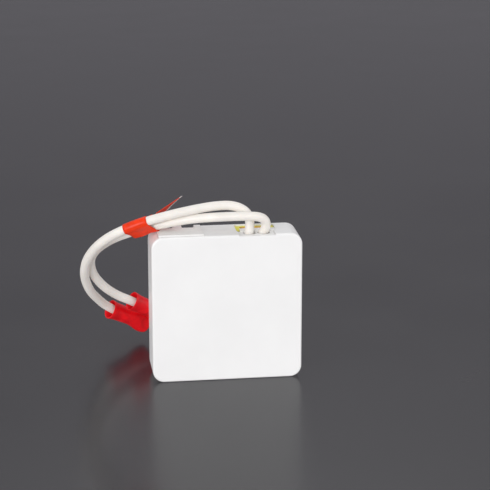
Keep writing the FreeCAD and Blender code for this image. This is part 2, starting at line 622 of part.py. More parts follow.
def make_relay():
    left, right = RELAY_LEFT, RELAY_LEFT + RELAY_LENGTH
    bottom, top = RELAY_BOTTOM, RELAY_BOTTOM + RELAY_HEIGHT
    front, rear = SEAT, SEAT + RELAY_DEPTH
    middle = (front + rear) / 2
    wall = RELAY_WALL
    cover = box(left, right, front, rear, bottom + 0.3, top)
    cover = cover.makeFillet(0.5, [e for e in cover.Edges if abs(e.tangentAt(e.FirstParameter).z) > 0.9])
    hollow = box(left + wall, right - wall, front + wall, rear - wall, bottom - 1, top - wall)
    save("relay_cover", cover.cut(hollow))
    pins = []
    for x, z in relay_pins():
        points = [V(x, middle, bottom + 1.2), V(x, middle, z), V(x, BOARD_FRONT - 0.8, z)]
        pins.append(bent_rod(points, RELAY_PIN / 2, 0.5))
    base = box(left + wall + FIT_GAP, right - wall - FIT_GAP, front + wall + FIT_GAP, rear - wall - FIT_GAP, bottom,
               bottom + RELAY_BASE)
    for pin in pins:
        base = base.cut(pin)
    save("relay_base", base)
    save("relay_pins", *pins)

    coil_x = left + COIL_FROM_LEFT
    floor = bottom + RELAY_BASE
    coil_low = floor + YOKE_THICKNESS + BOBBIN_FLANGE
    coil_high = coil_low + COIL_LENGTH
    core_top = coil_high + BOBBIN_FLANGE + 0.3
    tube = CORE_RADIUS + 0.4
    flange = COIL_RADIUS + 0.1
    bobbin = rod_z(coil_x, middle, tube, coil_low - 0.1, coil_high + 0.1)
    for low in (coil_low - BOBBIN_FLANGE, coil_high):
        bobbin = fuse(bobbin, box(coil_x - flange, coil_x + flange, middle - flange, middle + flange, low,
                                  low + BOBBIN_FLANGE))
    save("relay_bobbin", bobbin.cut(rod_z(coil_x, middle, CORE_RADIUS + 0.02, floor, core_top)))
    winding = rod_z(coil_x, middle, COIL_RADIUS, coil_low, coil_high)
    save("relay_winding", winding.cut(rod_z(coil_x, middle, tube, floor, core_top)))

    leg = coil_x + flange + 0.4
    half = YOKE_WIDTH / 2
    plate_top = core_top + ARMATURE_GAP
    yoke = box(coil_x - 2.0, leg + YOKE_THICKNESS, middle - half, middle + half, floor, floor + YOKE_THICKNESS)
    pivot_x = leg + YOKE_THICKNESS / 2
    pivot_z = plate_top - PIVOT_GAP - YOKE_THICKNESS / 2
    upright = fuse(box(leg, leg + YOKE_THICKNESS, middle - half, middle + half, floor, pivot_z),
                   rod_y(pivot_x, pivot_z, YOKE_THICKNESS / 2, middle - half, middle + half))
    core = rod_z(coil_x, middle, CORE_RADIUS, floor + 0.1, core_top)
    save("relay_yoke", fuse(yoke, upright, core))

    spring_x = leg + YOKE_THICKNESS + 0.7
    spring_low = floor + 2.0
    contact_z = spring_low + RIVET_RADIUS + 0.3
    plate = box(coil_x - 2.6, spring_x + SPRING_THICKNESS, middle - half, middle + half, plate_top,
                plate_top + ARMATURE_PLATE)
    save("relay_armature", plate)
    spring = box(spring_x, spring_x + SPRING_THICKNESS, middle - 1.6, middle + 1.6, spring_low, plate_top)
    tip = spring_x + SPRING_THICKNESS
    rivet = rod(V(tip, middle, contact_z), V(1, 0, 0), RIVET_RADIUS, RIVET_THICKNESS)
    save("relay_contact_spring", fuse(spring, rivet))
    fixed = tip + RIVET_THICKNESS + CONTACT_GAP
    blade = box(fixed + RIVET_THICKNESS, fixed + RIVET_THICKNESS + 0.5, middle - 1.6, middle + 1.6, floor,
                floor + 6.5)
    rivet = rod(V(fixed, middle, contact_z), V(1, 0, 0), RIVET_RADIUS, RIVET_THICKNESS)
    save("relay_fixed_contact", fuse(blade, rivet))
    print("armature pivot", round(pivot_x, 3), round(middle, 3), round(pivot_z, 3))


def make_supply():
    tx, tz = TRANSFORMER_X, TRANSFORMER_Z
    half, tall, rear = TRANSFORMER_WIDTH / 2, TRANSFORMER_HEIGHT / 2, SEAT + TRANSFORMER_DEPTH
    middle = (SEAT + rear) / 2
    winding_half = half - 1.9
    window = tall - 1.8
    bobbin = fuse(*[box(tx - half, tx + half, SEAT, rear, tz + s * window - 0.35, tz + s * window + 0.35)
                    for s in (-1, 1)],
                  box(tx - 1.9, tx + 1.9, middle - 1.4, middle + 1.4, tz - window, tz + window))
    feet = [box(tx - half, tx + half, SEAT, SEAT + 1.2, tz + s * (tall - 0.7) - 0.7, tz + s * (tall - 0.7) + 0.7)
            for s in (-1, 1)]
    bobbin = fuse(bobbin, *feet)
    pins = [rod_y(x, z, CAN_LEAD, BOARD_FRONT - 0.8, SEAT + 0.8) for x, z in transformer_pins()]
    core_cut = box(tx - 1.4, tx + 1.4, middle - 0.9, middle + 0.9, tz - tall, tz + tall)
    bobbin = bobbin.cut(core_cut)
    for pin in pins:
        bobbin = bobbin.cut(pin)
    save("transformer_bobbin", bobbin)
    save("transformer_pins", *pins)
    winding = slab(tx - winding_half, tx + winding_half, tz - window + 0.4, tz + window - 0.4, SEAT + 1.3,
                   rear - 0.3, 0.1)
    window_bore = box(tx - 1.9, tx + 1.9, middle - 1.4, middle + 1.4, tz - tall, tz + tall)
    save("transformer_winding", winding.cut(window_bore))
    core = box(tx - half + 0.1, tx + half - 0.1, middle - 0.9, middle + 0.9, tz - tall, tz + tall)
    core = core.cut(box(tx - half + 1.5, tx + half - 1.5, middle - 2, middle + 2, tz - tall + 1.3, tz + tall - 1.3))
    core = core.cut(bobbin)
    leg = box(tx - 1.4 + 0.03, tx + 1.4 - 0.03, middle - 0.9 + 0.03, middle + 0.9 - 0.03, tz - tall, tz + tall)
    save("transformer_core", fuse(core, leg))

    for name, x, z, radius, length in (
            ("smoothing_capacitor", SMOOTHING_X, SMOOTHING_Z, SMOOTHING_RADIUS, SMOOTHING_LENGTH),
            ("output_capacitor", OUTPUT_X, OUTPUT_Z, OUTPUT_RADIUS, OUTPUT_LENGTH)):
        y = SEAT + radius
        can = rod_z(x, y, radius, z, z + length)
        can = can.makeFillet(0.4, [e for e in can.Edges if len(e.Vertexes) == 1])
        ring = Part.makeTorus(radius + 0.15, 0.4, V(x, y, z + 1.8), V(0, 0, 1))
        leads = [bent_rod([V(px, y, z + 0.5), V(px, y, pz), V(px, BOARD_FRONT - 0.8, pz)], CAN_LEAD, 0.35)
                 for px, pz in can_pins(x, z, radius)]
        save(name, fuse(can.cut(ring), *leads))

    drum = rod_y(INDUCTOR_X, INDUCTOR_Z, INDUCTOR_RADIUS, SEAT, SEAT + INDUCTOR_HEIGHT)
    waist = rod_y(INDUCTOR_X, INDUCTOR_Z, INDUCTOR_RADIUS + 1, SEAT + 0.9, SEAT + INDUCTOR_HEIGHT - 0.9)
    waist = waist.cut(rod_y(INDUCTOR_X, INDUCTOR_Z, INDUCTOR_RADIUS * 0.5, SEAT, SEAT + INDUCTOR_HEIGHT))
    save("inductor_core", drum.cut(waist))
    coil = rod_y(INDUCTOR_X, INDUCTOR_Z, INDUCTOR_RADIUS - 0.35, SEAT + 0.95, SEAT + INDUCTOR_HEIGHT - 0.95)
    save("inductor_winding", coil.cut(rod_y(INDUCTOR_X, INDUCTOR_Z, INDUCTOR_RADIUS * 0.5 + 0.02, SEAT, REAR)))

    y = SEAT + FUSE_RADIUS + 0.3
    body = rod(V(FUSE_X - FUSE_LENGTH / 2, y, FUSE_Z), V(1, 0, 0), FUSE_RADIUS, FUSE_LENGTH)
    body = body.makeFillet(0.5, [e for e in body.Edges if len(e.Vertexes) == 1])
    leads = [bent_rod([V(FUSE_X + (x - FUSE_X) * 0.6, y, z), V(x, y, z), V(x, BOARD_FRONT - 0.8, z)],
                      CAP_LEAD_RADIUS, 0.5)
             for x, z in fuse_pins()]
    save("fuse_resistor", fuse(body, *leads))

    y = SEAT + VARISTOR_RADIUS + 0.2
    disc = rod(V(VARISTOR_X - VARISTOR_THICKNESS / 2, y, VARISTOR_Z), V(1, 0, 0), VARISTOR_RADIUS,
               VARISTOR_THICKNESS)
    disc = disc.makeFillet(1.0, [e for e in disc.Edges if len(e.Vertexes) == 1])
    leads = [rod_y(x, z, CAP_LEAD_RADIUS, BOARD_FRONT - 0.8, y) for x, z in varistor_pins()]
    save("varistor", fuse(disc, *leads))


def chip(x, z, width, height, thickness, back=True):
    y0 = BOARD_REAR if back else BOARD_FRONT - thickness
    return box(x - width / 2, x + width / 2, y0, y0 + thickness, z - height / 2, z + height / 2)


def make_small_parts():
    body = chip(DRIVER_X, DRIVER_Z, 5.0, 4.0, 1.5)
    body = body.translated(V(0, 0.1, 0))
    legs = [box(DRIVER_X + i * 1.27 - 0.2, DRIVER_X + i * 1.27 + 0.2, BOARD_REAR, BOARD_REAR + 0.3,
                DRIVER_Z + s * 2.5 - 0.5, DRIVER_Z + s * 2.5 + 0.5)
            for i in (-1.5, -0.5, 0.5, 1.5) for s in (-1, 1)]
    save("driver_chip", fuse(body, *legs))
    body = chip(RECTIFIER_X, RECTIFIER_Z, 4.7, 4.0, 1.5, back=False).translated(V(0, -0.1, 0))
    legs = []
    for across in (-1, 1):
        x = RECTIFIER_X + across * RECTIFIER_PITCH / 2
        for up in (-1, 1):
            z = RECTIFIER_Z + up * 2.4
            legs.append(box(x - 0.3, x + 0.3, BOARD_FRONT - 0.3, BOARD_FRONT, z - 0.5, z + 0.5))
    save("bridge_rectifier", fuse(body, *legs))
    body = chip(REGULATOR_X, REGULATOR_Z, REGULATOR_WIDTH, REGULATOR_HEIGHT, 1.5)
    top = REGULATOR_Z + REGULATOR_HEIGHT / 2
    tab = box(REGULATOR_X - REGULATOR_TAB / 2, REGULATOR_X + REGULATOR_TAB / 2, BOARD_REAR, BOARD_REAR + 0.4,
              top - 0.1, top + 0.5)
    save("voltage_regulator", fuse(body, tab))
    passives = []
    for column in range(PASSIVE_COLUMNS):
        for row in range(PASSIVE_ROWS):
            x, z = PASSIVE_LEFT + column * PASSIVE_PITCH_X, PASSIVE_BOTTOM + row * PASSIVE_PITCH_Z
            passives.append(chip(x, z, 2.0, 1.25, 0.6, back=False))
    save("chip_components", *passives)


def make_radio():
    left, low = RADIO_LEFT, RADIO_BOTTOM
    right, high = left + RADIO_WIDTH, low + RADIO_HEIGHT
    top = BOARD_REAR + RADIO_THICKNESS
    save("radio_board", box(left, right, BOARD_REAR, top, low, high))
    margin = SHIELD_MARGIN
    shield = box(left + margin, right - margin - 3.2, top, top + SHIELD_HEIGHT, low + margin, high - margin)
    shield = shield.makeFillet(0.3, [e for e in shield.Edges if abs(e.tangentAt(e.FirstParameter).y) > 0.9])
    hollow = box(left + margin + SHIELD_WALL, right - margin - 3.2 - SHIELD_WALL,
                 top - 1, top + SHIELD_HEIGHT - SHIELD_WALL,
                 low + margin + SHIELD_WALL, high - margin - SHIELD_WALL)
    save("radio_shield", shield.cut(hollow))
    processor = box(left + 3.4, left + 8.4, top, top + 0.9, low + 3.4, low + 8.4)
    save("radio_chip", processor)
    x0 = right - 3.6
    bars = [box(x0 + i * 1.1, x0 + i * 1.1 + 0.5, top, top + 0.15, low + 1.4, high - 1.4) for i in range(3)]
    links = [box(x0 + i * 1.1, x0 + (i + 1) * 1.1 + 0.5, top, top + 0.15, low + 1.4 if i % 2 else high - 1.9,
                 low + 1.9 if i % 2 else high - 1.4) for i in range(2)]
    save("antenna", fuse(*bars, *links))


def make_button():
    top = BOARD_REAR + SWITCH_HEIGHT
    half = SWITCH_SIDE / 2
    body = slab(BUTTON_X - half, BUTTON_X + half, BUTTON_Z - half, BUTTON_Z + half, BOARD_REAR, top, 0.3)
    well = rod_y(BUTTON_X, BUTTON_Z, PLUNGER_RADIUS + 0.1, top - BUTTON_TRAVEL - 0.9, top + 1)
    save("tact_switch", body.cut(well))
    plunger = rod_y(BUTTON_X, BUTTON_Z, PLUNGER_RADIUS, top - 0.4, top - 0.4 + PLUNGER_LENGTH)
    save("switch_plunger", plunger)
    seat = top - 0.4 + PLUNGER_LENGTH
    stem = rod_y(BUTTON_X, BUTTON_Z, BUTTON_RADIUS, seat, REAR - BUTTON_SINK)
    stem = stem.makeFillet(0.3, [e for e in stem.Edges if len(e.Vertexes) == 1 and e.Vertexes[0].Point.y > REAR - 1])
    flange = rod_y(BUTTON_X, BUTTON_Z, BUTTON_RADIUS + BUTTON_FLANGE, seat + BUTTON_TRAVEL, INNER_REAR - 0.05)
    save("pairing_button", fuse(stem, flange))
    led = chip(PIPE_X, BUTTON_Z, 2.0, 1.25, LED_HEIGHT)
    save("status_led", led)
    pipe = rod_y(PIPE_X, BUTTON_Z, PIPE_RADIUS, BOARD_REAR + LED_HEIGHT + MOUNT_GAP, REAR)
    collar = rod_y(PIPE_X, BUTTON_Z, PIPE_RADIUS + 0.5, INNER_REAR - 1.0, INNER_REAR)
    save("light_pipe", fuse(pipe, collar))


def route_tube(points, radius, name):
    """Tube along straight runs joined by tangent arcs, each as large as its two runs allow."""
    points = [V(*p) for p in points]
    edges, start, radii, length = [], points[0], [], 0.0
    for before, corner, after in zip(points, points[1:], points[2:]):
        back, on = before - corner, after - corner
        reach = ARC_SHARE * min(back.Length, on.Length)
        back.normalize()
        on.normalize()
        turn = math.pi - back.getAngle(on)
        bend = reach / math.tan(turn / 2)
        radii.append(round(bend, 1))
        enter, leave = corner + back * reach, corner + on * reach
        centre_line = (back + on).normalize()
        middle = corner + centre_line * (bend / math.cos(turn / 2) - bend)
        edges += [Part.LineSegment(start, enter).toShape(), Part.Arc(enter, middle, leave).toShape()]
        start = leave
    edges.append(Part.LineSegment(start, points[-1]).toShape())
    path = Part.Wire(edges)
    ring = Part.Wire([Part.makeCircle(radius, points[0], points[1] - points[0])])
    tube = path.makePipeShell([ring], True, False)
    length = path.Length
    print(name, "length", round(length, 1), "volume over section times length",
          round(tube.Volume / (math.pi * radius ** 2 * length), 4), "radii", radii)
    return tube


class Crimp:
    """Frame of one crimped connector: s runs along its axis from the mouth, w across its width."""

    def __init__(self, route, seat, width_axis):
        end, before = V(*route[-1]), V(*route[-2])
        self.along = (end - before).normalize()
        self.mouth = end - self.along * seat
        width = V(width_axis)
        self.across = (width - self.along * width.dot(self.along)).normalize()
        self.normal = self.along.cross(self.across)

    def point(self, s, w=0.0, n=0.0):
        return self.mouth + self.along * s + self.across * w + self.normal * n

    def ring(self, s, width, thickness, corner):
        """Rounded rectangle across the axis, as lines and quarter arcs."""
        half_w, half_n = width / 2, thickness / 2
        corner = min(corner, half_w - 0.02, half_n - 0.02)
        k = corner * (1 - math.sqrt(0.5))
        edges = []
        for sw, sn in ((1, 1), (-1, 1), (-1, -1), (1, -1)):
            ends = [self.point(s, sw * half_w, sn * (half_n - corner)),
                    self.point(s, sw * (half_w - corner), sn * half_n)]
            middle = self.point(s, sw * (half_w - k), sn * (half_n - k))
            if sw * sn < 0:
                ends.reverse()
            edges.append((ends[0], middle, ends[1]))
        out = []
        for i, (first, middle, last) in enumerate(edges):
            out.append(Part.Arc(first, middle, last).toShape())
            out.append(Part.LineSegment(last, edges[(i + 1) % 4][0]).toShape())
        return Part.Wire(out)

    def loft(self, sections):
        return Part.makeLoft([self.ring(*section) for section in sections], True, True)

    def tube(self, radius, s0, s1):
        return rod(self.point(s0), self.along, radius, s1 - s0)

    def plate(self, s0, s1, width, n0, n1):
        corners = [self.point(s0, -width / 2, n0), self.point(s0, width / 2, n0), self.point(s0, width / 2, n1),
                   self.point(s0, -width / 2, n1)]
        return Part.Face(Part.makePolygon(corners + corners[:1])).extrude(self.along * (s1 - s0))


def make_crimp(number, frame):
    big = 9.0
    outer = frame.loft([(0.0, MOUTH_DIAMETER, MOUTH_DIAMETER, big),
                        (BELL_LENGTH, BARREL_DIAMETER + 0.2, BARREL_DIAMETER, big),
                        (BARREL_END, BARREL_DIAMETER, BARREL_DIAMETER - 0.4, big),
                        (HOUSING_START, HOUSING_WIDTH, HOUSING_THICKNESS, SLEEVE_CORNER),
                        (SLEEVE_LENGTH - SLEEVE_CORNER, HOUSING_WIDTH, HOUSING_THICKNESS, SLEEVE_CORNER),
                        (SLEEVE_LENGTH - SLEEVE_CORNER * 0.3, HOUSING_WIDTH - SLEEVE_CORNER * 0.6, HOUSING_THICKNESS - 0.3,
                         SLEEVE_CORNER - 0.1),
                        (SLEEVE_LENGTH, HOUSING_WIDTH - SLEEVE_CORNER, HOUSING_THICKNESS - 1.0, SLEEVE_CORNER - 0.4)])
    inner = frame.loft([(-0.5, MOUTH_BORE + 0.3, MOUTH_BORE + 0.3, big),
                        (BELL_LENGTH, BARREL_BORE, BARREL_BORE, big),
                        (BORE_END, BARREL_BORE, BARREL_BORE, big),
                        (TAB_BORE_START, TAB_BORE_WIDTH, TAB_BORE_THICKNESS, 1.0),
                        (SLEEVE_LENGTH + 0.5, TAB_BORE_WIDTH, TAB_BORE_THICKNESS, 1.0)])
    sleeve = outer.cut(inner)
    save("connector_sleeve_%d" % number, sleeve)
    barrel = frame.tube(CRIMP_RADIUS, BELL_LENGTH + 0.4, CRIMP_END)
    bore = frame.tube(LEAD_RADIUS + LEAD_FIT, 0, LEAD_SEAT + 0.05)
    core = frame.tube(CONDUCTOR_DIAMETER / 2, LEAD_SEAT, CRIMP_END)
    box_depth = TAB_THICKNESS + 2 * RECEPTACLE_WALL
    neck = frame.plate(CRIMP_END - 0.3, RECEPTACLE_START + 0.3, NECK_WIDTH, -0.4, 0.4)
    body = frame.plate(RECEPTACLE_START, SLEEVE_LENGTH - 0.6, TAB_WIDTH + 2 * RECEPTACLE_WALL - 0.3, -box_depth / 2,
                       box_depth / 2)
    slot = frame.plate(RECEPTACLE_START + 1.0, SLEEVE_LENGTH, TAB_WIDTH + 0.1, -TAB_THICKNESS / 2 - 0.02,
                       TAB_THICKNESS / 2 + 0.02)
    mouth = frame.plate(RECEPTACLE_START - 1, SLEEVE_LENGTH, ROLL_GAP, 0.0, box_depth)
    terminal = fuse(barrel, neck, body.cut(slot).cut(mouth)).cut(bore).cut(core)
    save("receptacle_%d" % number, terminal)
    save("crimped_conductor_%d" % number, core)


def make_label():
    along = V(LABEL_AXIS).normalize()
    start = LABEL_CENTRE - along * (LABEL_LENGTH / 2)
    frame = Crimp([start, start + along], 1.0, LABEL_SPREAD_AXIS)
    wall = LABEL_THICKNESS
    outer = frame.loft([(s, LABEL_WIDTH, LABEL_DEPTH, LABEL_DEPTH / 2) for s in (0.0, LABEL_LENGTH)])
    inner = frame.loft([(s, LABEL_WIDTH - 2 * wall, LABEL_DEPTH - 2 * wall, LABEL_DEPTH / 2 - wall)
                        for s in (-1.0, LABEL_LENGTH + 1.0)])
    wrap = outer.cut(inner)
    run = V(FLAG_ALONG).normalize()
    fall = V(FLAG_ACROSS).normalize() * FLAG_WIDTH
    corners = [FLAG_TIP, FLAG_TIP + run * FLAG_UPPER_EDGE, FLAG_TIP + run * FLAG_LOWER_EDGE + fall, FLAG_TIP + fall]
    normal = fall.cross(run).normalize()
    flag = Part.Face(Part.makePolygon(corners + corners[:1])).extrude(normal * wall)
    save("marker_label", fuse(wrap, flag))


make_front_cover()
make_rear_housing()
make_board()
make_terminal_block()
make_terminal_metal()
make_lead_guide()
make_inner_leads()
make_film_capacitor()
make_relay()
make_supply()
make_small_parts()
make_radio()
make_button()
save("lead_upper", route_tube(UPPER_ROUTE, LEAD_RADIUS, "lead_upper"))
save("lead_lower", route_tube(LOWER_ROUTE, LEAD_RADIUS, "lead_lower"))
make_crimp(1, Crimp(UPPER_ROUTE, LEAD_SEAT, UPPER_WIDTH_AXIS))
make_crimp(2, Crimp(LOWER_ROUTE, LEAD_SEAT, LOWER_WIDTH_AXIS))
make_label()
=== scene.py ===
"""Slim square switch module with two flying leads: the finished look, built round the fixed frame."""
import json
import math

import bmesh
import bpy
from bpy.props import FloatProperty, FloatVectorProperty, IntProperty, PointerProperty
from mathutils import Matrix, Vector

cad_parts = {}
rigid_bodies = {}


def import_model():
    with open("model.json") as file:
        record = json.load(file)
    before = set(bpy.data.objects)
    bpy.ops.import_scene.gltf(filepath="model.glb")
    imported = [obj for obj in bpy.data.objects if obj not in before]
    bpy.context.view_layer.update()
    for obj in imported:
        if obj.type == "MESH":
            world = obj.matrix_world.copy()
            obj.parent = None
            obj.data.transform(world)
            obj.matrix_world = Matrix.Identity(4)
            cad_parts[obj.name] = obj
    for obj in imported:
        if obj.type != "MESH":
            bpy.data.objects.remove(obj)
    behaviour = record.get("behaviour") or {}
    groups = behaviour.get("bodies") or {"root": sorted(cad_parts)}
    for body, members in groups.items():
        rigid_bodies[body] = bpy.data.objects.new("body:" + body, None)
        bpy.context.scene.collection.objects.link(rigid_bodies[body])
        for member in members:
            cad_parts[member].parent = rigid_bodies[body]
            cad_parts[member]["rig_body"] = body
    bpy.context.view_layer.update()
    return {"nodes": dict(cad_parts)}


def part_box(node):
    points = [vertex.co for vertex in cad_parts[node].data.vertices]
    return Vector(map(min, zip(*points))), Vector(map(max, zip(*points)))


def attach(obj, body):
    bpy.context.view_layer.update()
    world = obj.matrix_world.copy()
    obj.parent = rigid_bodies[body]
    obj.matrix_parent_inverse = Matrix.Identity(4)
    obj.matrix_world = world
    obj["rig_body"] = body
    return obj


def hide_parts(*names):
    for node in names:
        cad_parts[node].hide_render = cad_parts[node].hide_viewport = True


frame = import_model()

bl_info = {
    "name": "Switch module",
    "version": (1, 0, 0),
    "blender": (4, 5, 0),
    "location": "View3D > Sidebar > Switch",
    "description": "Builds a slim switch module with screw terminals and two flying leads",
    "category": "Object",
}

MM = 0.001

# Points that the leads' splines follow, in millimetres, from the guide to the crimp
UPPER_POINTS = (
    (8.0, -3.3, 51.6), (8.8, -2.0, 55.3), (7.5, -0.8, 58.7), (3.0, -0.6, 60.9), (-3.5, -0.9, 61.0),
    (-12.0, -1.8, 59.95), (-21.5, -2.5, 58.2), (-31.5, -2.5, 55.5), (-40.9, 1.6, 50.2), (-46.7, 9.0, 42.2),
    (-48.2, 16.6, 33.4), (-46.0, 24.4, 24.8), (-42.1, 31.2, 18.7), (-38.9, 34.6, 14.9), (-33.1, 36.9, 11.2))
LOWER_POINTS = (
    (12.9, -3.3, 51.6), (14.4, -3.9, 54.4), (12.5, -5.0, 57.5), (7.3, -5.2, 58.1), (-2.0, -3.8, 57.75),
    (-12.0, -1.2, 56.75), (-21.5, -0.1, 54.9), (-30.6, 2.3, 52.4), (-39.8, 7.8, 47.7), (-45.6, 14.4, 40.9),
    (-45.4, 20.8, 33.0), (-41.4, 25.8, 26.0), (-35.8, 29.6, 20.8), (-31.1, 31.2, 18.3), (-25.5, 33.2, 14.9))

# Connectors: how far a lead goes into one, where each points from its mouth, and which way it is wide
LEAD_SEAT = 5.8
SLEEVE_AXES = (Vector((6.2, 2.3, -3.3)), Vector((5.6, 2.0, -3.4)))
SLEEVE_WIDTH_AXES = (Vector((0.466, 0.184, 0.865)), Vector((0.518, 0.169, 0.838)))

# A connector sleeve's outside and inside: distance from the mouth, half width and thickness, squareness
SLEEVE_OUTSIDE = (
    (17.0, 2.95, 1.95, 3.0), (16.92, 3.2, 2.15, 3.0), (16.6, 3.52, 2.32, 3.0), (16.1, 3.82, 2.43, 3.2),
    (15.4, 4.02, 2.49, 3.3), (14.6, 4.1, 2.5, 3.4), (13.6, 4.1, 2.5, 3.4), (12.8, 4.02, 2.52, 3.3),
    (11.9, 3.8, 2.58, 3.0), (10.9, 3.5, 2.66, 2.7), (9.9, 3.26, 2.76, 2.4), (9.0, 3.12, 2.86, 2.1),
    (8.2, 3.08, 2.9, 2.0), (7.2, 3.1, 2.94, 2.0), (6.0, 3.12, 3.0, 2.0), (4.6, 3.12, 3.06, 2.0),
    (3.2, 3.14, 3.1, 2.0), (2.3, 3.2, 3.16, 2.0), (1.5, 3.3, 3.28, 2.0), (0.8, 3.42, 3.4, 2.0),
    (0.35, 3.49, 3.48, 2.0), (0.12, 3.49, 3.49, 2.0), (0.02, 3.43, 3.43, 2.0), (0.0, 3.32, 3.32, 2.0),
    (0.03, 3.2, 3.2, 2.0), (0.14, 3.1, 3.1, 2.0))
SLEEVE_INSIDE = (
    (0.5, 2.98, 2.98, 2.0), (1.2, 2.72, 2.72, 2.0), (2.2, 2.4, 2.4, 2.0), (2.8, 2.24, 2.24, 2.0),
    (8.4, 2.2, 2.2, 2.0), (9.0, 2.45, 1.85, 2.6), (9.6, 2.7, 1.52, 4.5), (16.6, 2.72, 1.54, 5.0),
    (16.88, 2.76, 1.58, 4.5), (16.97, 2.84, 1.7, 4.0))

# Marker label: middle of the wrap and its axis along the leads
LABEL_CENTRE = Vector((-29.45, 0.05, 54.18))
LABEL_AXIS = Vector((0.908, -0.25, 0.337))
LABEL_ROWS, LABEL_COLUMNS = 72, 12
LABEL_GAP = 0.06  # between the film and a lead, in millimetres
LABEL_SHIFT = 0.28  # of the whole wrap along the leads
LABEL_START, LABEL_TURNS = -0.22, 1.16  # where the wrap starts round the pair, and its length, in turns
LABEL_LAP_START, LABEL_LAP = 0.86, 0.2  # from this share of a turn on, it lies this far out on itself
CLIMB_START, CLIMB_LENGTH = 4.5, 7.0  # part of the way round over which it slants
SAG_SPREAD, SAG_FADE = 2.4, 4.0  # how wide the hanging fold is, and how fast it ends along the leads

# Its loose end: upper corner, from there to the lower corner, and back along its edges for these lengths
FLAG_TIP = Vector((-13.9, 7.0, 62.8))
FLAG_FALL = Vector((-4.5, 5.3, -6.1))
FLAG_RUN = Vector((-9.0, -7.0, -3.6))
FLAG_EDGES = (12.0, 15.0)
FLAG_ROWS, FLAG_COLUMNS = 26, 10

# Where its two edges leave the wrap, from the upper lead: along the leads, across them and out of them
FLAG_ROOTS = (Vector((4.0, 2.0, 1.35)), Vector((-0.5, 4.4, 1.35)))
FLAG_ROOT, FLAG_PULL = 0.3, 3.0  # share of it that bends away from the wrap, and how stiffly
FLAG_CURL = 0.2  # how far its middle bulges
HIGHLIGHT_ROWS = 2  # rows at its loose end in a pale finish: a painted highlight, as if the bent end caught the light

AIM = Vector((7.09, 0.0, 46.34))  # what the camera looks at


def linear(code):
    """sRGB hex code to the linear colour that the shaders take."""
    channels = [int(code[i:i + 2], 16) / 255 for i in (0, 2, 4)]
    return [c / 12.92 if c <= 0.04045 else ((c + 0.055) / 1.055) ** 2.4 for c in channels]


def opaque(code):
    return (*linear(code), 1.0)


class CasingSettings(bpy.types.PropertyGroup):
    """Sizes and colours of the casing and what sits in its walls."""

    seam: FloatProperty(name="Seam edge", description="Width of the broken edges where the shells meet",
                        default=0.14 * MM, unit="LENGTH")
    colour: FloatVectorProperty(name="Casing", description="Colour of the moulded shells", subtype="COLOR",
                                default=linear("EFEEED"))
    terminal: FloatVectorProperty(name="Terminals", description="Colour of the terminal block",
                                  subtype="COLOR", default=linear("EBEAE8"))


class LeadSettings(bpy.types.PropertyGroup):
    """Sizes and colour of the free leads."""

    diameter: FloatProperty(name="Diameter", description="Outside diameter of the insulation",
                            default=3.2 * MM, unit="LENGTH")
    upper_length: FloatProperty(name="Upper length", description="Length of the upper lead, guide to crimp",
                                default=117.4 * MM, unit="LENGTH")
    lower_length: FloatProperty(name="Lower length", description="Length of the lower lead, guide to crimp",
                                default=113.4 * MM, unit="LENGTH")
    colour: FloatVectorProperty(name="Insulation", description="Colour of the insulation", subtype="COLOR",
                                default=linear("EEE9E2"))


class ConnectorSettings(bpy.types.PropertyGroup):
    """Facets and colour of the crimped connector sleeves."""

    sides: IntProperty(name="Sides", description="Faces round a sleeve", default=64)
    colour: FloatVectorProperty(name="Sleeve", description="Colour of the sleeves", subtype="COLOR",
                                default=linear("EA121C"))


class LabelSettings(bpy.types.PropertyGroup):
    """Sizes and colours of the marker label."""

    width: FloatProperty(name="Width", description="Width of the strip", default=8.5 * MM, unit="LENGTH")
    thickness: FloatProperty(name="Thickness", description="Thickness of the film", default=0.18 * MM,
                             unit="LENGTH")
    slant: FloatProperty(name="Slant", default=0.25,
                         description="Climb along the leads for each length round the lower one")
    sag: FloatProperty(name="Sag", description="How far the film hangs off under the lower lead",
                       default=0.85 * MM, unit="LENGTH")
    colour: FloatVectorProperty(name="Film", description="Colour of the film", subtype="COLOR",
                                default=linear("EE3A12"))


class StageSettings(bpy.types.PropertyGroup):
    """Camera, lamps and floor."""

    focal: FloatProperty(name="Focal length", description="Focal length on a 36 mm sensor", default=132.57)
    distance: FloatProperty(name="Distance", description="From the camera to the point that it looks at",
                            default=624 * MM, unit="LENGTH")
    azimuth: FloatProperty(name="Azimuth", description="Camera's angle round the module",
                           default=math.radians(-7.83), subtype="ANGLE")
    elevation: FloatProperty(name="Elevation", description="Camera's angle above the floor",
                             default=math.radians(15.85), subtype="ANGLE")
    floor: FloatVectorProperty(name="Floor", description="Colour of the floor", subtype="COLOR",
                               default=linear("28272B"))


# Materials


def add(tree, kind, inputs=None, links=None, **settings):
    """A node with its settings, its sockets' values, and links into its sockets from other nodes' outputs."""
    node = tree.nodes.new(kind)
    for name, value in settings.items():
        setattr(node, name, value)
    for socket, value in (inputs or {}).items():
        node.inputs[socket].default_value = value
    for socket, (source, output) in (links or {}).items():
        tree.links.new(source.outputs[output], node.inputs[socket])
    return node


def shaded(name, sockets):
    """A material with these values on its shader, and its tree, shader and coordinates."""
    material = bpy.data.materials.new(name)
    material.use_nodes = True
    tree = material.node_tree
    shader = tree.nodes["Principled BSDF"]
    for socket, value in sockets.items():
        shader.inputs[socket].default_value = value
    return material, tree, shader, add(tree, "ShaderNodeTexCoord")


def two_tones(tree, factor, dark, light, steps=(0.35, 0.65)):
    """Colour that runs from dark to light over these steps of a factor (node, output)."""
    ramp = add(tree, "ShaderNodeValToRGB", links={"Fac": factor})
    for element, at, colour in zip(ramp.color_ramp.elements, steps, (dark, light)):
        element.position = at
        element.color = (*colour[:3], 1.0)
    return ramp


def shade(colour, share):
    return [min(1.0, c * share) for c in colour[:3]]


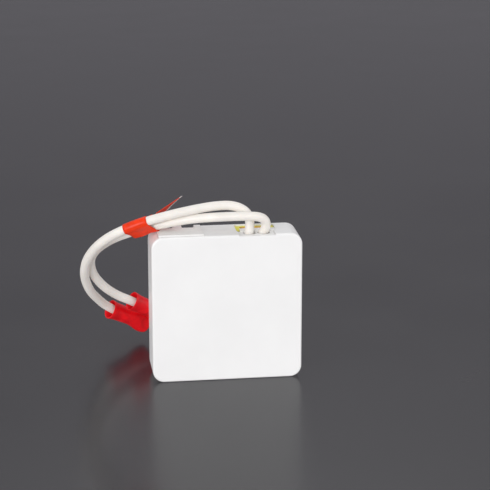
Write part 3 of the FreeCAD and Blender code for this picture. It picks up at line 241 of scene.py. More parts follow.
def moulded(name, colour, tone_depth, cloud, grain, relief, rough, ior):
    """Moulded plastic: nearly even colour with soft flow clouds, and a fine grain in gloss and relief.

    Cloud and grain are sizes and relief is a depth, in millimetres.
    """
    material, tree, shader, place = shaded(name, {"IOR": ior})
    clouds = add(tree, "ShaderNodeTexNoise", {"Scale": 1 / (cloud * MM), "Detail": 4.0, "Roughness": 0.55},
                 {"Vector": (place, "Object")})
    tone = two_tones(tree, (clouds, "Fac"), shade(colour, 1 - tone_depth), shade(colour, 1 + tone_depth / 2))
    tree.links.new(tone.outputs["Color"], shader.inputs["Base Color"])
    fine = add(tree, "ShaderNodeTexNoise", {"Scale": 1 / (grain * MM), "Detail": 3.0},
               {"Vector": (place, "Object")})
    gloss = add(tree, "ShaderNodeMapRange", {"To Min": rough[0], "To Max": rough[1]},
                {"Value": (fine, "Fac")})
    tree.links.new(gloss.outputs["Result"], shader.inputs["Roughness"])
    bump = add(tree, "ShaderNodeBump", {"Strength": 0.6, "Distance": relief * MM}, {"Height": (fine, "Fac")})
    tree.links.new(bump.outputs["Normal"], shader.inputs["Normal"])
    return material


def metal(name, colour, scratch=(0.05, 0.05, 1.2), rough=(0.18, 0.42), relief=0.004, stain=0.12):
    """Bare or plated metal: drawn or stamped streaks, and a slight stain that dulls it in patches."""
    material, tree, shader, place = shaded(name, {"Metallic": 1.0})
    stretch = add(tree, "ShaderNodeMapping", {"Scale": [1 / (size * MM) for size in scratch]},
                  {"Vector": (place, "Object")})
    streaks = add(tree, "ShaderNodeTexNoise", {"Scale": 1.0, "Detail": 3.0}, {"Vector": (stretch, "Vector")})
    patches = add(tree, "ShaderNodeTexNoise", {"Scale": 1 / (1.6 * MM), "Detail": 3.0},
                  {"Vector": (place, "Object")})
    tone = two_tones(tree, (patches, "Fac"), shade(colour, 1 - stain), colour)
    tree.links.new(tone.outputs["Color"], shader.inputs["Base Color"])
    gloss = add(tree, "ShaderNodeMapRange", {"To Min": rough[0], "To Max": rough[1]},
                {"Value": (streaks, "Fac")})
    tree.links.new(gloss.outputs["Result"], shader.inputs["Roughness"])
    bump = add(tree, "ShaderNodeBump", {"Strength": 0.5, "Distance": relief * MM},
               {"Height": (streaks, "Fac")})
    tree.links.new(bump.outputs["Normal"], shader.inputs["Normal"])
    return material


def wound(name, colour, wire, axis):
    """Enamelled wire wound in layers: a ridge for each turn across the winding's axis, with painted shade in
    the grooves between turns.
    """
    material, tree, shader, place = shaded(name, {"Metallic": 0.85, "Roughness": 0.32, "Coat Weight": 0.5})
    turns = add(tree, "ShaderNodeTexWave", {"Scale": 1 / (wire * MM) / math.tau * 2.0, "Distortion": 0.35,
                                            "Detail": 1.0, "Detail Scale": 3.0},
                {"Vector": (place, "Object")}, wave_type="BANDS", bands_direction=axis)
    # darker down to 0.3 of the colour in the grooves between turns: painted shade
    tone = two_tones(tree, (turns, "Fac"), shade(colour, 0.3), colour, (0.05, 0.5))
    tree.links.new(tone.outputs["Color"], shader.inputs["Base Color"])
    bump = add(tree, "ShaderNodeBump", {"Strength": 0.9, "Distance": wire * MM / 3},
               {"Height": (turns, "Fac")})
    tree.links.new(bump.outputs["Normal"], shader.inputs["Normal"])
    return material


def cable_pvc(colour):
    """Extruded soft PVC: satin, slightly see-through at the skin, finely matt, with handling marks."""
    material, tree, shader, place = shaded("soft_pvc_insulation", {
        "IOR": 1.53, "Subsurface Weight": 0.12, "Subsurface Radius": (0.9 * MM, 0.7 * MM, 0.5 * MM),
        "Subsurface Scale": 1.0, "Specular IOR Level": 0.45})
    marks = add(tree, "ShaderNodeTexNoise", {"Scale": 1 / (7 * MM), "Detail": 5.0, "Roughness": 0.6},
                {"Vector": (place, "Object")})
    tone = two_tones(tree, (marks, "Fac"), shade(colour, 0.93), shade(colour, 1.02), (0.3, 0.62))
    tree.links.new(tone.outputs["Color"], shader.inputs["Base Color"])
    skin = add(tree, "ShaderNodeTexNoise", {"Scale": 1 / (0.35 * MM), "Detail": 3.0},
               {"Vector": (place, "Object")})
    gloss = add(tree, "ShaderNodeMapRange", {"To Min": 0.36, "To Max": 0.5}, {"Value": (skin, "Fac")})
    tree.links.new(gloss.outputs["Result"], shader.inputs["Roughness"])
    bump = add(tree, "ShaderNodeBump", {"Strength": 0.5, "Distance": 0.012 * MM}, {"Height": (skin, "Fac")})
    tree.links.new(bump.outputs["Normal"], shader.inputs["Normal"])
    return material


def sleeve_pvc(colour):
    """Moulded red PVC: glossy and a little see-through, with moulding flow in its tone and dull spots."""
    material, tree, shader, place = shaded("red_pvc_sleeve", {
        "IOR": 1.53, "Subsurface Weight": 0.12, "Subsurface Radius": (1.1 * MM, 0.08 * MM, 0.06 * MM),
        "Subsurface Scale": 1.0, "Specular IOR Level": 0.26})
    flow = add(tree, "ShaderNodeTexNoise", {"Scale": 1 / (3.5 * MM), "Detail": 4.0, "Distortion": 0.6},
               {"Vector": (place, "Object")})
    tone = two_tones(tree, (flow, "Fac"), shade(colour, 0.72), shade(colour, 1.08), (0.3, 0.68))
    tree.links.new(tone.outputs["Color"], shader.inputs["Base Color"])
    skin = add(tree, "ShaderNodeTexNoise", {"Scale": 1 / (0.5 * MM), "Detail": 4.0},
               {"Vector": (place, "Object")})
    gloss = add(tree, "ShaderNodeMapRange", {"To Min": 0.26, "To Max": 0.44}, {"Value": (skin, "Fac")})
    tree.links.new(gloss.outputs["Result"], shader.inputs["Roughness"])
    bump = add(tree, "ShaderNodeBump", {"Strength": 0.6, "Distance": 0.03 * MM}, {"Height": (skin, "Fac")})
    tree.links.new(bump.outputs["Normal"], shader.inputs["Normal"])
    return material


def marker_film(name, colour, rough):
    """Vinyl marker film: even print, satin, with the faint waviness of a strip bent round leads."""
    material, tree, shader, place = shaded(name, {"IOR": 1.49, "Specular IOR Level": 0.24})
    wear = add(tree, "ShaderNodeTexNoise", {"Scale": 1 / (2.2 * MM), "Detail": 5.0},
               {"Vector": (place, "Object")})
    tone = two_tones(tree, (wear, "Fac"), shade(colour, 0.88), shade(colour, 1.05))
    tree.links.new(tone.outputs["Color"], shader.inputs["Base Color"])
    gloss = add(tree, "ShaderNodeMapRange", {"To Min": rough - 0.07, "To Max": rough + 0.08},
                {"Value": (wear, "Fac")})
    tree.links.new(gloss.outputs["Result"], shader.inputs["Roughness"])
    waves = add(tree, "ShaderNodeTexNoise", {"Scale": 1 / (1.4 * MM), "Detail": 1.0},
                {"Vector": (place, "Object")})
    bump = add(tree, "ShaderNodeBump", {"Strength": 0.5, "Distance": 0.06 * MM}, {"Height": (waves, "Fac")})
    tree.links.new(bump.outputs["Normal"], shader.inputs["Normal"])
    return material


def cast_epoxy(colour):
    """Poured epoxy: glossy, see-through at its edge, with small bubbles under the skin."""
    material, tree, shader, place = shaded("cast_orange_epoxy", {
        "IOR": 1.55, "Roughness": 0.16, "Subsurface Weight": 0.3,
        "Subsurface Radius": (1.4 * MM, 0.6 * MM, 0.15 * MM), "Subsurface Scale": 1.0})
    depth = add(tree, "ShaderNodeTexNoise", {"Scale": 1 / (4 * MM), "Detail": 3.0},
                {"Vector": (place, "Object")})
    tone = two_tones(tree, (depth, "Fac"), shade(colour, 0.72), shade(colour, 1.1))
    bubbles = add(tree, "ShaderNodeTexVoronoi", {"Scale": 1 / (0.9 * MM)}, {"Vector": (place, "Object")})
    spots = two_tones(tree, (bubbles, "Distance"), (0.55, 0.55, 0.55), (1.0, 1.0, 1.0), (0.06, 0.13))
    mixed = add(tree, "ShaderNodeMix", {"Factor": 1.0}, data_type="RGBA", blend_type="MULTIPLY")
    tree.links.new(tone.outputs["Color"], mixed.inputs[6])
    tree.links.new(spots.outputs["Color"], mixed.inputs[7])
    tree.links.new(mixed.outputs[2], shader.inputs["Base Color"])
    bump = add(tree, "ShaderNodeBump", {"Strength": 0.4, "Distance": 0.04 * MM},
               {"Height": (bubbles, "Distance")})
    tree.links.new(bump.outputs["Normal"], shader.inputs["Normal"])
    return material


def circuit_board(name, colour, track):
    """Glass epoxy board under solder mask: tracks are lighter raised lines, and the weave is in the gloss."""
    material, tree, shader, place = shaded(name, {"IOR": 1.52, "Coat Weight": 0.4, "Coat Roughness": 0.15})
    tracks = add(tree, "ShaderNodeTexVoronoi", {"Scale": 1 / (3.4 * MM), "Randomness": 0.7},
                 {"Vector": (place, "Object")}, distance="CHEBYCHEV", feature="DISTANCE_TO_EDGE")
    tone = two_tones(tree, (tracks, "Distance"), track, colour, (0.05, 0.09))
    tree.links.new(tone.outputs["Color"], shader.inputs["Base Color"])
    weave = add(tree, "ShaderNodeTexChecker", {"Scale": 1 / (0.5 * MM)}, {"Vector": (place, "Object")})
    gloss = add(tree, "ShaderNodeMapRange", {"To Min": 0.3, "To Max": 0.4}, {"Value": (weave, "Fac")})
    tree.links.new(gloss.outputs["Result"], shader.inputs["Roughness"])
    bump = add(tree, "ShaderNodeBump", {"Strength": 0.5, "Distance": 0.035 * MM}, {"Height": (tone, "Color")})
    tree.links.new(bump.outputs["Normal"], shader.inputs["Normal"])
    return material


def clear_acrylic():
    """Clear moulded acrylic: polished and colourless, seen by its rim."""
    material, tree, shader, place = shaded("clear_acrylic", {"IOR": 1.49, "Transmission Weight": 0.85,
                                                             "Base Color": opaque("EDF2F2")})
    skin = add(tree, "ShaderNodeTexNoise", {"Scale": 1 / (0.8 * MM), "Detail": 2.0},
               {"Vector": (place, "Object")})
    gloss = add(tree, "ShaderNodeMapRange", {"To Min": 0.05, "To Max": 0.14}, {"Value": (skin, "Fac")})
    tree.links.new(gloss.outputs["Result"], shader.inputs["Roughness"])
    return material


def make_finishes(casing, leads, connectors, label):
    """Every finish by name, with a comment beside it on the real material."""
    return {
        # PC-ABS from a polished mould: near-white, softly glossy, almost without grain
        "casing": moulded("moulded_pc_abs", casing.colour, 0.02, 18.0, 0.3, 0.004, (0.3, 0.37), 1.56),
        # glass-filled polyamide: warmer and duller, with a fine grain from the fibres
        "terminal": moulded("moulded_polyamide", casing.terminal, 0.04, 6.0, 0.14, 0.01, (0.42, 0.55), 1.53),
        # ABS from an eroded mould: matt
        "guide": moulded("matt_moulded_abs", linear("E9E8E6"), 0.03, 9.0, 0.16, 0.008, (0.38, 0.48), 1.54),
        # acetal: slippery, slightly grey, glossier than the shells
        "button": moulded("moulded_acetal", linear("DCDBD8"), 0.03, 5.0, 0.2, 0.005, (0.26, 0.34), 1.48),
        # soft PVC, extruded round the strands
        "insulation": cable_pvc(leads.colour),
        # rigid red PVC, moulded
        "sleeve": sleeve_pvc(connectors.colour),
        # vinyl film, printed red all over, and a pale band at its loose end that is a painted highlight on
        # the bend
        "film": marker_film("vinyl_marker_film", label.colour, 0.34),
        "film_end_highlight": marker_film("painted_highlight_film_end", linear("F1E4E0"), 0.45),
        # PBT capacitor box: even, glossy, strong yellow
        "yellow_case": moulded("moulded_pbt_case", linear("E6DC1E"), 0.05, 5.0, 0.18, 0.006, (0.28, 0.38),
                               1.57),
        # amber epoxy, poured in and cured
        "resin": cast_epoxy(linear("E0A040")),
        # PBT relay cover: dark blue, softly glossy
        "relay_case": moulded("moulded_pbt_relay_case", linear("1D3F78"), 0.06, 7.0, 0.18, 0.006, (0.3, 0.4),
                              1.57),
        # black phenolic of coil formers: dull
        "bobbin": moulded("moulded_phenolic", linear("2A2A2B"), 0.1, 3.0, 0.16, 0.01, (0.42, 0.55), 1.6),
        # epoxy with silica that chips are moulded in: black and matt
        "chip": moulded("moulded_chip_epoxy", linear("1F2022"), 0.12, 2.0, 0.1, 0.008, (0.45, 0.6), 1.55),
        # fired ceramic of chip capacitors: brown and grainy
        "ceramic": moulded("fired_ceramic_chips", linear("A08A6C"), 0.12, 1.2, 0.1, 0.01, (0.4, 0.55), 1.7),
        # PVC tube shrunk over an aluminium can: glossy, a little uneven
        "can": moulded("shrunk_pvc_sleeve", linear("22262E"), 0.1, 6.0, 0.5, 0.02, (0.2, 0.32), 1.53),
        # epoxy from a dip: blue, with a runny surface
        "varistor": moulded("dipped_blue_epoxy", linear("2A5FA8"), 0.1, 2.5, 0.5, 0.04, (0.34, 0.5), 1.55),
        # lacquer baked over ceramic: green, with a slightly lumpy surface
        "resistor": moulded("baked_green_lacquer", linear("3C8A6E"), 0.12, 3.0, 0.5, 0.03, (0.3, 0.44), 1.52),
        # milky epoxy that a light's die is cast in
        "led": moulded("milky_cast_epoxy", linear("E4E4D4"), 0.05, 2.0, 0.4, 0.004, (0.2, 0.3), 1.55),
        # sintered ferrite: dark grey and stony
        "ferrite": moulded("sintered_ferrite", linear("3A3836"), 0.25, 1.4, 0.12, 0.03, (0.5, 0.7), 1.8),
        # glass epoxy under a green mask, and under a dark blue one
        "board": circuit_board("green_masked_board", linear("12603A"), linear("2F8455")),
        "radio_board": circuit_board("dark_masked_board", linear("152235"), linear("2B405E")),
        # clear acrylic, moulded
        "clear": clear_acrylic(),
        # zinc-plated steel: turned or stamped, grey and streaked
        "steel": metal("zinc_plated_steel", linear("C4C6C8"), (0.6, 0.6, 0.06), (0.26, 0.46)),
        # tinned brass: pale yellow, rolled and stamped
        "brass": metal("tinned_brass", linear("D2C79E"), (0.06, 0.5, 0.5), (0.24, 0.42)),
        # tin solder: set from the melt, without a direction
        "solder": metal("tin_solder", linear("C2C4C6"), (0.4, 0.4, 0.4), (0.16, 0.34), 0.02),
        # bare copper: drawn
        "copper": metal("bare_copper", linear("CF8A63"), (0.1, 0.1, 0.6), (0.26, 0.44)),
        # tinned sheet steel: rolled and folded
        "shield": metal("tinned_sheet_steel", linear("CACBCC"), (0.5, 0.05, 0.5), (0.2, 0.38)),
        # enamelled copper wire, fine for the coils and thick for the choke
        "winding": wound("enamelled_copper_wire", linear("B9653A"), 0.16, "Z"),
        "choke_winding": wound("enamelled_choke_wire", linear("B06A3C"), 0.4, "Z"),
    }


# What each node that keeps its form is finished in, and the width of its broken edges in millimetres
DRESSED = {
    "terminal_bars": ("brass", 0.06), "clamp_cage_1": ("steel", 0.08), "clamp_cage_2": ("steel", 0.08),
    "terminal_screw_1": ("steel", 0.08), "terminal_screw_2": ("steel", 0.08),
    "receptacle_1": ("brass", 0.05), "receptacle_2": ("brass", 0.05),
    "crimped_conductor_1": ("copper", 0.0), "crimped_conductor_2": ("copper", 0.0),
    "circuit_board": ("board", 0.0), "lead_inner_ends": ("insulation", 0.0),
    "lead_conductors": ("copper", 0.0), "solder_joints": ("solder", 0.0),
    "film_capacitor_leads": ("solder", 0.0),
    "relay_cover": ("relay_case", 0.15), "relay_base": ("bobbin", 0.08), "relay_pins": ("solder", 0.0),
    "relay_bobbin": ("bobbin", 0.06), "relay_winding": ("winding", 0.0), "relay_yoke": ("steel", 0.06),
    "relay_armature": ("steel", 0.06), "relay_contact_spring": ("copper", 0.04),
    "relay_fixed_contact": ("copper", 0.04),
    "transformer_bobbin": ("bobbin", 0.08), "transformer_pins": ("solder", 0.0),
    "transformer_winding": ("winding", 0.0), "transformer_core": ("ferrite", 0.12),
    "smoothing_capacitor": ("can", 0.25), "output_capacitor": ("can", 0.2),
    "inductor_core": ("ferrite", 0.15), "inductor_winding": ("choke_winding", 0.0),
    "fuse_resistor": ("resistor", 0.3),
    "varistor": ("varistor", 0.4), "driver_chip": ("chip", 0.06), "bridge_rectifier": ("chip", 0.06),
    "voltage_regulator": ("chip", 0.05), "chip_components": ("ceramic", 0.03),
    "radio_board": ("radio_board", 0.0), "radio_shield": ("shield", 0.08), "radio_chip": ("chip", 0.05),
    "antenna": ("copper", 0.0), "tact_switch": ("bobbin", 0.08), "switch_plunger": ("button", 0.08),
    "status_led": ("led", 0.06),
}
FINISHES = {}


# Shapes


def piece(name, bm, finish, node, sharp=32.0):
    """A mesh piece that stands for a node: its body, smooth faces and sharp edges past an angle."""
    mesh = bpy.data.meshes.new(name)
    bm.to_mesh(mesh)
    bm.free()
    mesh.materials.append(FINISHES[finish])
    mesh.shade_smooth()
    mesh.set_sharp_from_angle(angle=math.radians(sharp))
    made = bpy.data.objects.new(name, mesh)
    bpy.context.scene.collection.objects.link(made)
    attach(made, frame["nodes"][node]["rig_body"])
    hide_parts(node)
    return made


def break_edges(made, width, segments=2, angle=40.0):
    """A small round on every edge sharper than an angle, and shading that follows the larger faces."""
    bevel = made.modifiers.new("Broken edges", "BEVEL")
    bevel.width = width
    bevel.segments = segments
    bevel.limit_method = "ANGLE"
    bevel.angle_limit = math.radians(angle)
    bevel.miter_outer = "MITER_ARC"
    weighted = made.modifiers.new("Face shading", "WEIGHTED_NORMAL")
    weighted.keep_sharp = True


def from_node(node, finish, edge=0.0):
    """The node's own form with merged points, flat faces joined, smooth rounds and broken edges."""
    bm = bmesh.new()
    bm.from_mesh(frame["nodes"][node].data)
    bmesh.ops.remove_doubles(bm, verts=bm.verts, dist=0.0005 * MM)
    bmesh.ops.dissolve_limit(bm, angle_limit=math.radians(0.5), verts=bm.verts, edges=bm.edges)
    made = piece(node + "_form", bm, finish, node)
    if edge:
        break_edges(made, edge * MM)
    return made


def turned(profile, sides, place):
    """A closed turned shape about local Z from (radius, height) points in millimetres, set in place."""
    bm = bmesh.new()
    verts = [bm.verts.new((radius * MM, 0.0, height * MM)) for radius, height in profile]
    edges = [bm.edges.new(pair) for pair in zip(verts, verts[1:])]
    bmesh.ops.spin(bm, geom=verts + edges, cent=(0, 0, 0), axis=(0, 0, 1), angle=math.tau, steps=sides,
                   use_merge=True)
    bmesh.ops.remove_doubles(bm, verts=bm.verts, dist=0.0005 * MM)
    bmesh.ops.recalc_face_normals(bm, faces=bm.faces)
    bmesh.ops.transform(bm, matrix=place, verts=bm.verts)
    return bm


def axes(origin, along, across):
    """Place whose Z runs along one direction, with X near another. Origin in millimetres."""
    z = along.normalized()
    x = (across - z * across.dot(z)).normalized()
    y = z.cross(x)
    return Matrix.Translation(origin * MM) @ Matrix((x, y, z)).transposed().to_4x4()


def lead_curve(name, points, radius):
    """A lead as one open spline through its route's control points."""
    curve = bpy.data.curves.new(name, "CURVE")
    curve.dimensions = "3D"
    spline = curve.splines.new("NURBS")
    spline.points.add(len(points) - 1)
    for point, place in zip(spline.points, points):
        point.co = (place[0] * MM, place[1] * MM, place[2] * MM, 1.0)
    spline.order_u = 3
    spline.use_endpoint_u = True
    spline.resolution_u = 16
    curve.bevel_depth = radius
    curve.bevel_resolution = 7
    curve.use_fill_caps = True
    made = bpy.data.objects.new(name, curve)
    bpy.context.scene.collection.objects.link(made)
    return made


def lead_line(points):
    """The centre line of a lead, read from its spline with no thickness, in metres."""
    bare = lead_curve("bare_line", points, 0.0)
    mesh = bpy.data.meshes.new_from_object(bare.evaluated_get(bpy.context.evaluated_depsgraph_get()))
    line = [vertex.co.copy() for vertex in mesh.vertices]
    bpy.data.objects.remove(bare)
    bpy.data.meshes.remove(mesh)
    return line


def crossing(line, origin, along):
    """Where a line crosses the plane square to a direction at a point."""
    for first, last in zip(line, line[1:]):
        a, b = (first - origin).dot(along), (last - origin).dot(along)
        if a * b <= 0 and a != b:
            return first.lerp(last, a / (a - b))
    raise RuntimeError("a lead doesn't pass through the label")


def curved(start, end, leave, arrive, share):
    """Point on a smooth arc between two places with these directions at its ends."""
    t, t2, t3 = share, share * share, share ** 3
    return (start * (2 * t3 - 3 * t2 + 1) + leave * (t3 - 2 * t2 + t)
            + end * (3 * t2 - 2 * t3) + arrive * (t3 - t2))


class SWITCH_OT_stage(bpy.types.Operator):
    """Floor, world, lamps and the camera at the photograph's angle"""

    bl_idname = "switch.stage"
    bl_label = "Stage"

    def execute(self, context):
        settings = context.scene.switch_stage
        bm = bmesh.new()
        bmesh.ops.create_circle(bm, cap_ends=True, radius=4.0, segments=64)
        mesh = bpy.data.meshes.new("floor")
        bm.to_mesh(mesh)
        bm.free()
        floor = bpy.data.objects.new("floor", mesh)
        context.scene.collection.objects.link(floor)
        material, tree, shader, place = shaded("lacquered_table", {"Specular IOR Level": 0.32})
        wipes = add(tree, "ShaderNodeTexNoise", {"Scale": 1 / (60 * MM), "Detail": 3.0},
                    {"Vector": (place, "Object")})
        tone = two_tones(tree, (wipes, "Fac"), shade(settings.floor, 0.92), settings.floor)
        tree.links.new(tone.outputs["Color"], shader.inputs["Base Color"])
        gloss = add(tree, "ShaderNodeMapRange", {"To Min": 0.2, "To Max": 0.3}, {"Value": (wipes, "Fac")})
        tree.links.new(gloss.outputs["Result"], shader.inputs["Roughness"])
        # the table looks dark, and still gives soft light back to the undersides like a pale one
        pale = add(tree, "ShaderNodeBsdfDiffuse", {"Color": opaque("CAC9CB")})
        bounce = add(tree, "ShaderNodeLightPath")
        seen = add(tree, "ShaderNodeMixShader", links={0: (bounce, "Is Diffuse Ray"), 1: (shader, "BSDF"),
                                                      2: (pale, "BSDF")})
        tree.links.new(seen.outputs["Shader"], tree.nodes["Material Output"].inputs["Surface"])
        mesh.materials.append(material)

        world = bpy.data.worlds.new("studio")
        world.use_nodes = True
        sky = world.node_tree
        light = sky.nodes["Background"]
        light.inputs["Color"].default_value = opaque("F4F5F7")
        light.inputs["Strength"].default_value = 0.64
        # what the camera, gloss and clear pieces see: the dim room of the photograph
        room = add(sky, "ShaderNodeBackground", {"Color": opaque("8A888E"), "Strength": 1.0})
        rays = add(sky, "ShaderNodeLightPath")
        shown = add(sky, "ShaderNodeMixShader", links={0: (rays, "Is Diffuse Ray"), 1: (room, "Background"),
                                                       2: (light, "Background")})
        sky.links.new(shown.outputs["Shader"], sky.nodes["World Output"].inputs["Surface"])
        context.scene.world = world
        for name, strength, spread, direction in (
                ("key", 1.35, 26.0, (-0.5, -1.1, 0.25)),
                ("fill", 0.8, 60.0, (0.9, -0.35, 0.3)),
                ("side", 0.8, 60.0, (-1.0, -0.6, 0.08)),
                ("rear", 0.5, 50.0, (0.15, 0.9, 1.0))):
            lamp = bpy.data.lights.new(name, "SUN")
            lamp.energy = strength
            lamp.angle = math.radians(spread)
            held = bpy.data.objects.new(name, lamp)
            held.rotation_euler = Vector(direction).to_track_quat("Z", "Y").to_euler()
            context.scene.collection.objects.link(held)

        camera = bpy.data.cameras.new("camera")
        camera.sensor_width = 36.0
        camera.lens = settings.focal
        camera.clip_start, camera.clip_end = 0.01, 20.0
        azimuth, elevation = settings.azimuth, settings.elevation
        back = Vector((math.sin(azimuth) * math.cos(elevation), -math.cos(azimuth) * math.cos(elevation),
                       math.sin(elevation)))
        held = bpy.data.objects.new("camera", camera)
        held.location = AIM * MM + back * settings.distance
        held.rotation_euler = back.to_track_quat("Z", "Y").to_euler()
        context.scene.collection.objects.link(held)
        context.scene.camera = held
        context.scene.view_settings.view_transform = "Standard"
        return {"FINISHED"}


class SWITCH_OT_casing(bpy.types.Operator):
    """Front cover and rear housing"""

    bl_idname = "switch.casing"
    bl_label = "Casing"

    def execute(self, context):
        for node in ("front_cover", "rear_housing"):
            from_node(node, "casing", context.scene.switch_casing.seam / MM)
        return {"FINISHED"}


class SWITCH_OT_controls(bpy.types.Operator):
    """Pairing button and light pipe in the rear face"""

    bl_idname = "switch.controls"
    bl_label = "Controls"

    def execute(self, context):
        low, high = (Vector(corner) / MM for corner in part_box("pairing_button"))
        middle = (low + high) / 2
        flange, length = (high.x - low.x) / 2, high.y - low.y
        cap = flange - 0.6
        place = axes(Vector((middle.x, low.y, middle.z)), Vector((0, 1, 0)), Vector((1, 0, 0)))
        profile = ((0.0, 0.0), (flange - 0.08, 0.0), (flange, 0.08), (flange, 0.5), (flange - 0.08, 0.58),
                   (cap + 0.05, 0.6), (cap, 0.68), (cap, length - 0.3), (cap - 0.07, length - 0.1),
                   (cap - 0.28, length), (cap - 0.42, length - 0.02), (cap - 0.7, length - 0.14),
                   (0.4, length - 0.2), (0.0, length - 0.21))
        piece("pairing_button_cap", turned(profile, 48, place), "button", "pairing_button")

        low, high = (Vector(corner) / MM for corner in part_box("light_pipe"))
        middle = (low + high) / 2
        radius, length = (high.x - low.x) / 2, high.y - low.y
        place = axes(Vector((middle.x, low.y, middle.z)), Vector((0, 1, 0)), Vector((1, 0, 0)))
        profile = ((0.0, 0.0), (radius - 0.1, 0.0), (radius, 0.1), (radius, length - 0.25),
                   (radius - 0.06, length - 0.13), (radius - 0.2, length - 0.05),
                   (radius * 0.5, length - 0.01), (0.0, length))
        piece("light_pipe_rod", turned(profile, 40, place), "clear", "light_pipe")
        return {"FINISHED"}


class SWITCH_OT_terminals(bpy.types.Operator):
    """Terminal block in the left bay and the guide that the leads come out of"""

    bl_idname = "switch.terminals"
    bl_label = "Terminals and guide"

    def execute(self, context):
        from_node("terminal_block", "terminal", 0.16)
        from_node("lead_guide", "guide", 0.14)
        return {"FINISHED"}


class SWITCH_OT_capacitor(bpy.types.Operator):
    """Boxed film capacitor beside the leads, with its poured resin"""

    bl_idname = "switch.capacitor"
    bl_label = "Film capacitor"

    def execute(self, context):
        from_node("film_capacitor_case", "yellow_case", 0.18)
        low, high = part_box("film_capacitor_resin")
        middle, size = (low + high) / 2, high - low
        bm = bmesh.new()
        bmesh.ops.create_grid(bm, x_segments=48, y_segments=24, size=0.5)
        bmesh.ops.transform(bm, matrix=Matrix.Translation((middle.x, middle.y, high.z))
                            @ Matrix.Diagonal((size.x, size.y, 1.0, 1.0)), verts=bm.verts)
        skirt = bmesh.ops.extrude_face_region(bm, geom=bm.faces[:])["geom"]
        rise, reach, sink = 0.22 * MM, 0.3 * MM, 0.04 * MM  # how it climbs the walls and is low between them
        for vert in (part for part in skirt if isinstance(part, bmesh.types.BMVert)):
            near = min(vert.co.x - low.x, high.x - vert.co.x, vert.co.y - low.y, high.y - vert.co.y)
            vert.co.z += rise * math.exp(-near / reach) - sink
        for vert in bm.verts:
            if abs(vert.co.z - high.z) < 1e-9:
                vert.co.z = low.z
        bmesh.ops.recalc_face_normals(bm, faces=bm.faces)
        piece("poured_resin", bm, "resin", "film_capacitor_resin")
        return {"FINISHED"}


class SWITCH_OT_connectors(bpy.types.Operator):
    """Insulating sleeves of the two push-on connectors, one on each lead"""

    bl_idname = "switch.connectors"
    bl_label = "Connectors"

    def execute(self, context):
        sides = context.scene.switch_connectors.sides
        ends = (UPPER_POINTS[-1], LOWER_POINTS[-1])
        for number, (point, axis, across) in enumerate(zip(ends, SLEEVE_AXES, SLEEVE_WIDTH_AXES), 1):
            end, along = Vector(point), axis.normalized()
            bm = bmesh.new()
            bmesh.ops.create_circle(bm, cap_ends=False, radius=MM, segments=sides)
            ring = bm.edges[:]
            first = ring
            for step, (reach, wide, thick, square) in enumerate(SLEEVE_OUTSIDE + SLEEVE_INSIDE):
                if step:
                    grown = bmesh.ops.extrude_edge_only(bm, edges=ring)["geom"]
                    verts = {part for part in grown if isinstance(part, bmesh.types.BMVert)}
                    ring = [part for part in grown if isinstance(part, bmesh.types.BMEdge)
                            and part.verts[0] in verts and part.verts[1] in verts]
                else:
                    verts = set(bm.verts)
                for vert in verts:
                    turn = math.atan2(vert.co.y, vert.co.x)
                    c, s = math.cos(turn), math.sin(turn)
                    out = (abs(c / wide) ** square + abs(s / thick) ** square) ** (-1 / square)
                    vert.co = Vector((c * out, s * out, reach)) * MM
            bmesh.ops.bridge_loops(bm, edges=first + ring)
            bmesh.ops.recalc_face_normals(bm, faces=bm.faces)
            bmesh.ops.transform(bm, matrix=axes(end - along * LEAD_SEAT, along, across), verts=bm.verts)
            piece("connector_%d_sleeve" % number, bm, "sleeve", "connector_sleeve_%d" % number, 50.0)
        return {"FINISHED"}


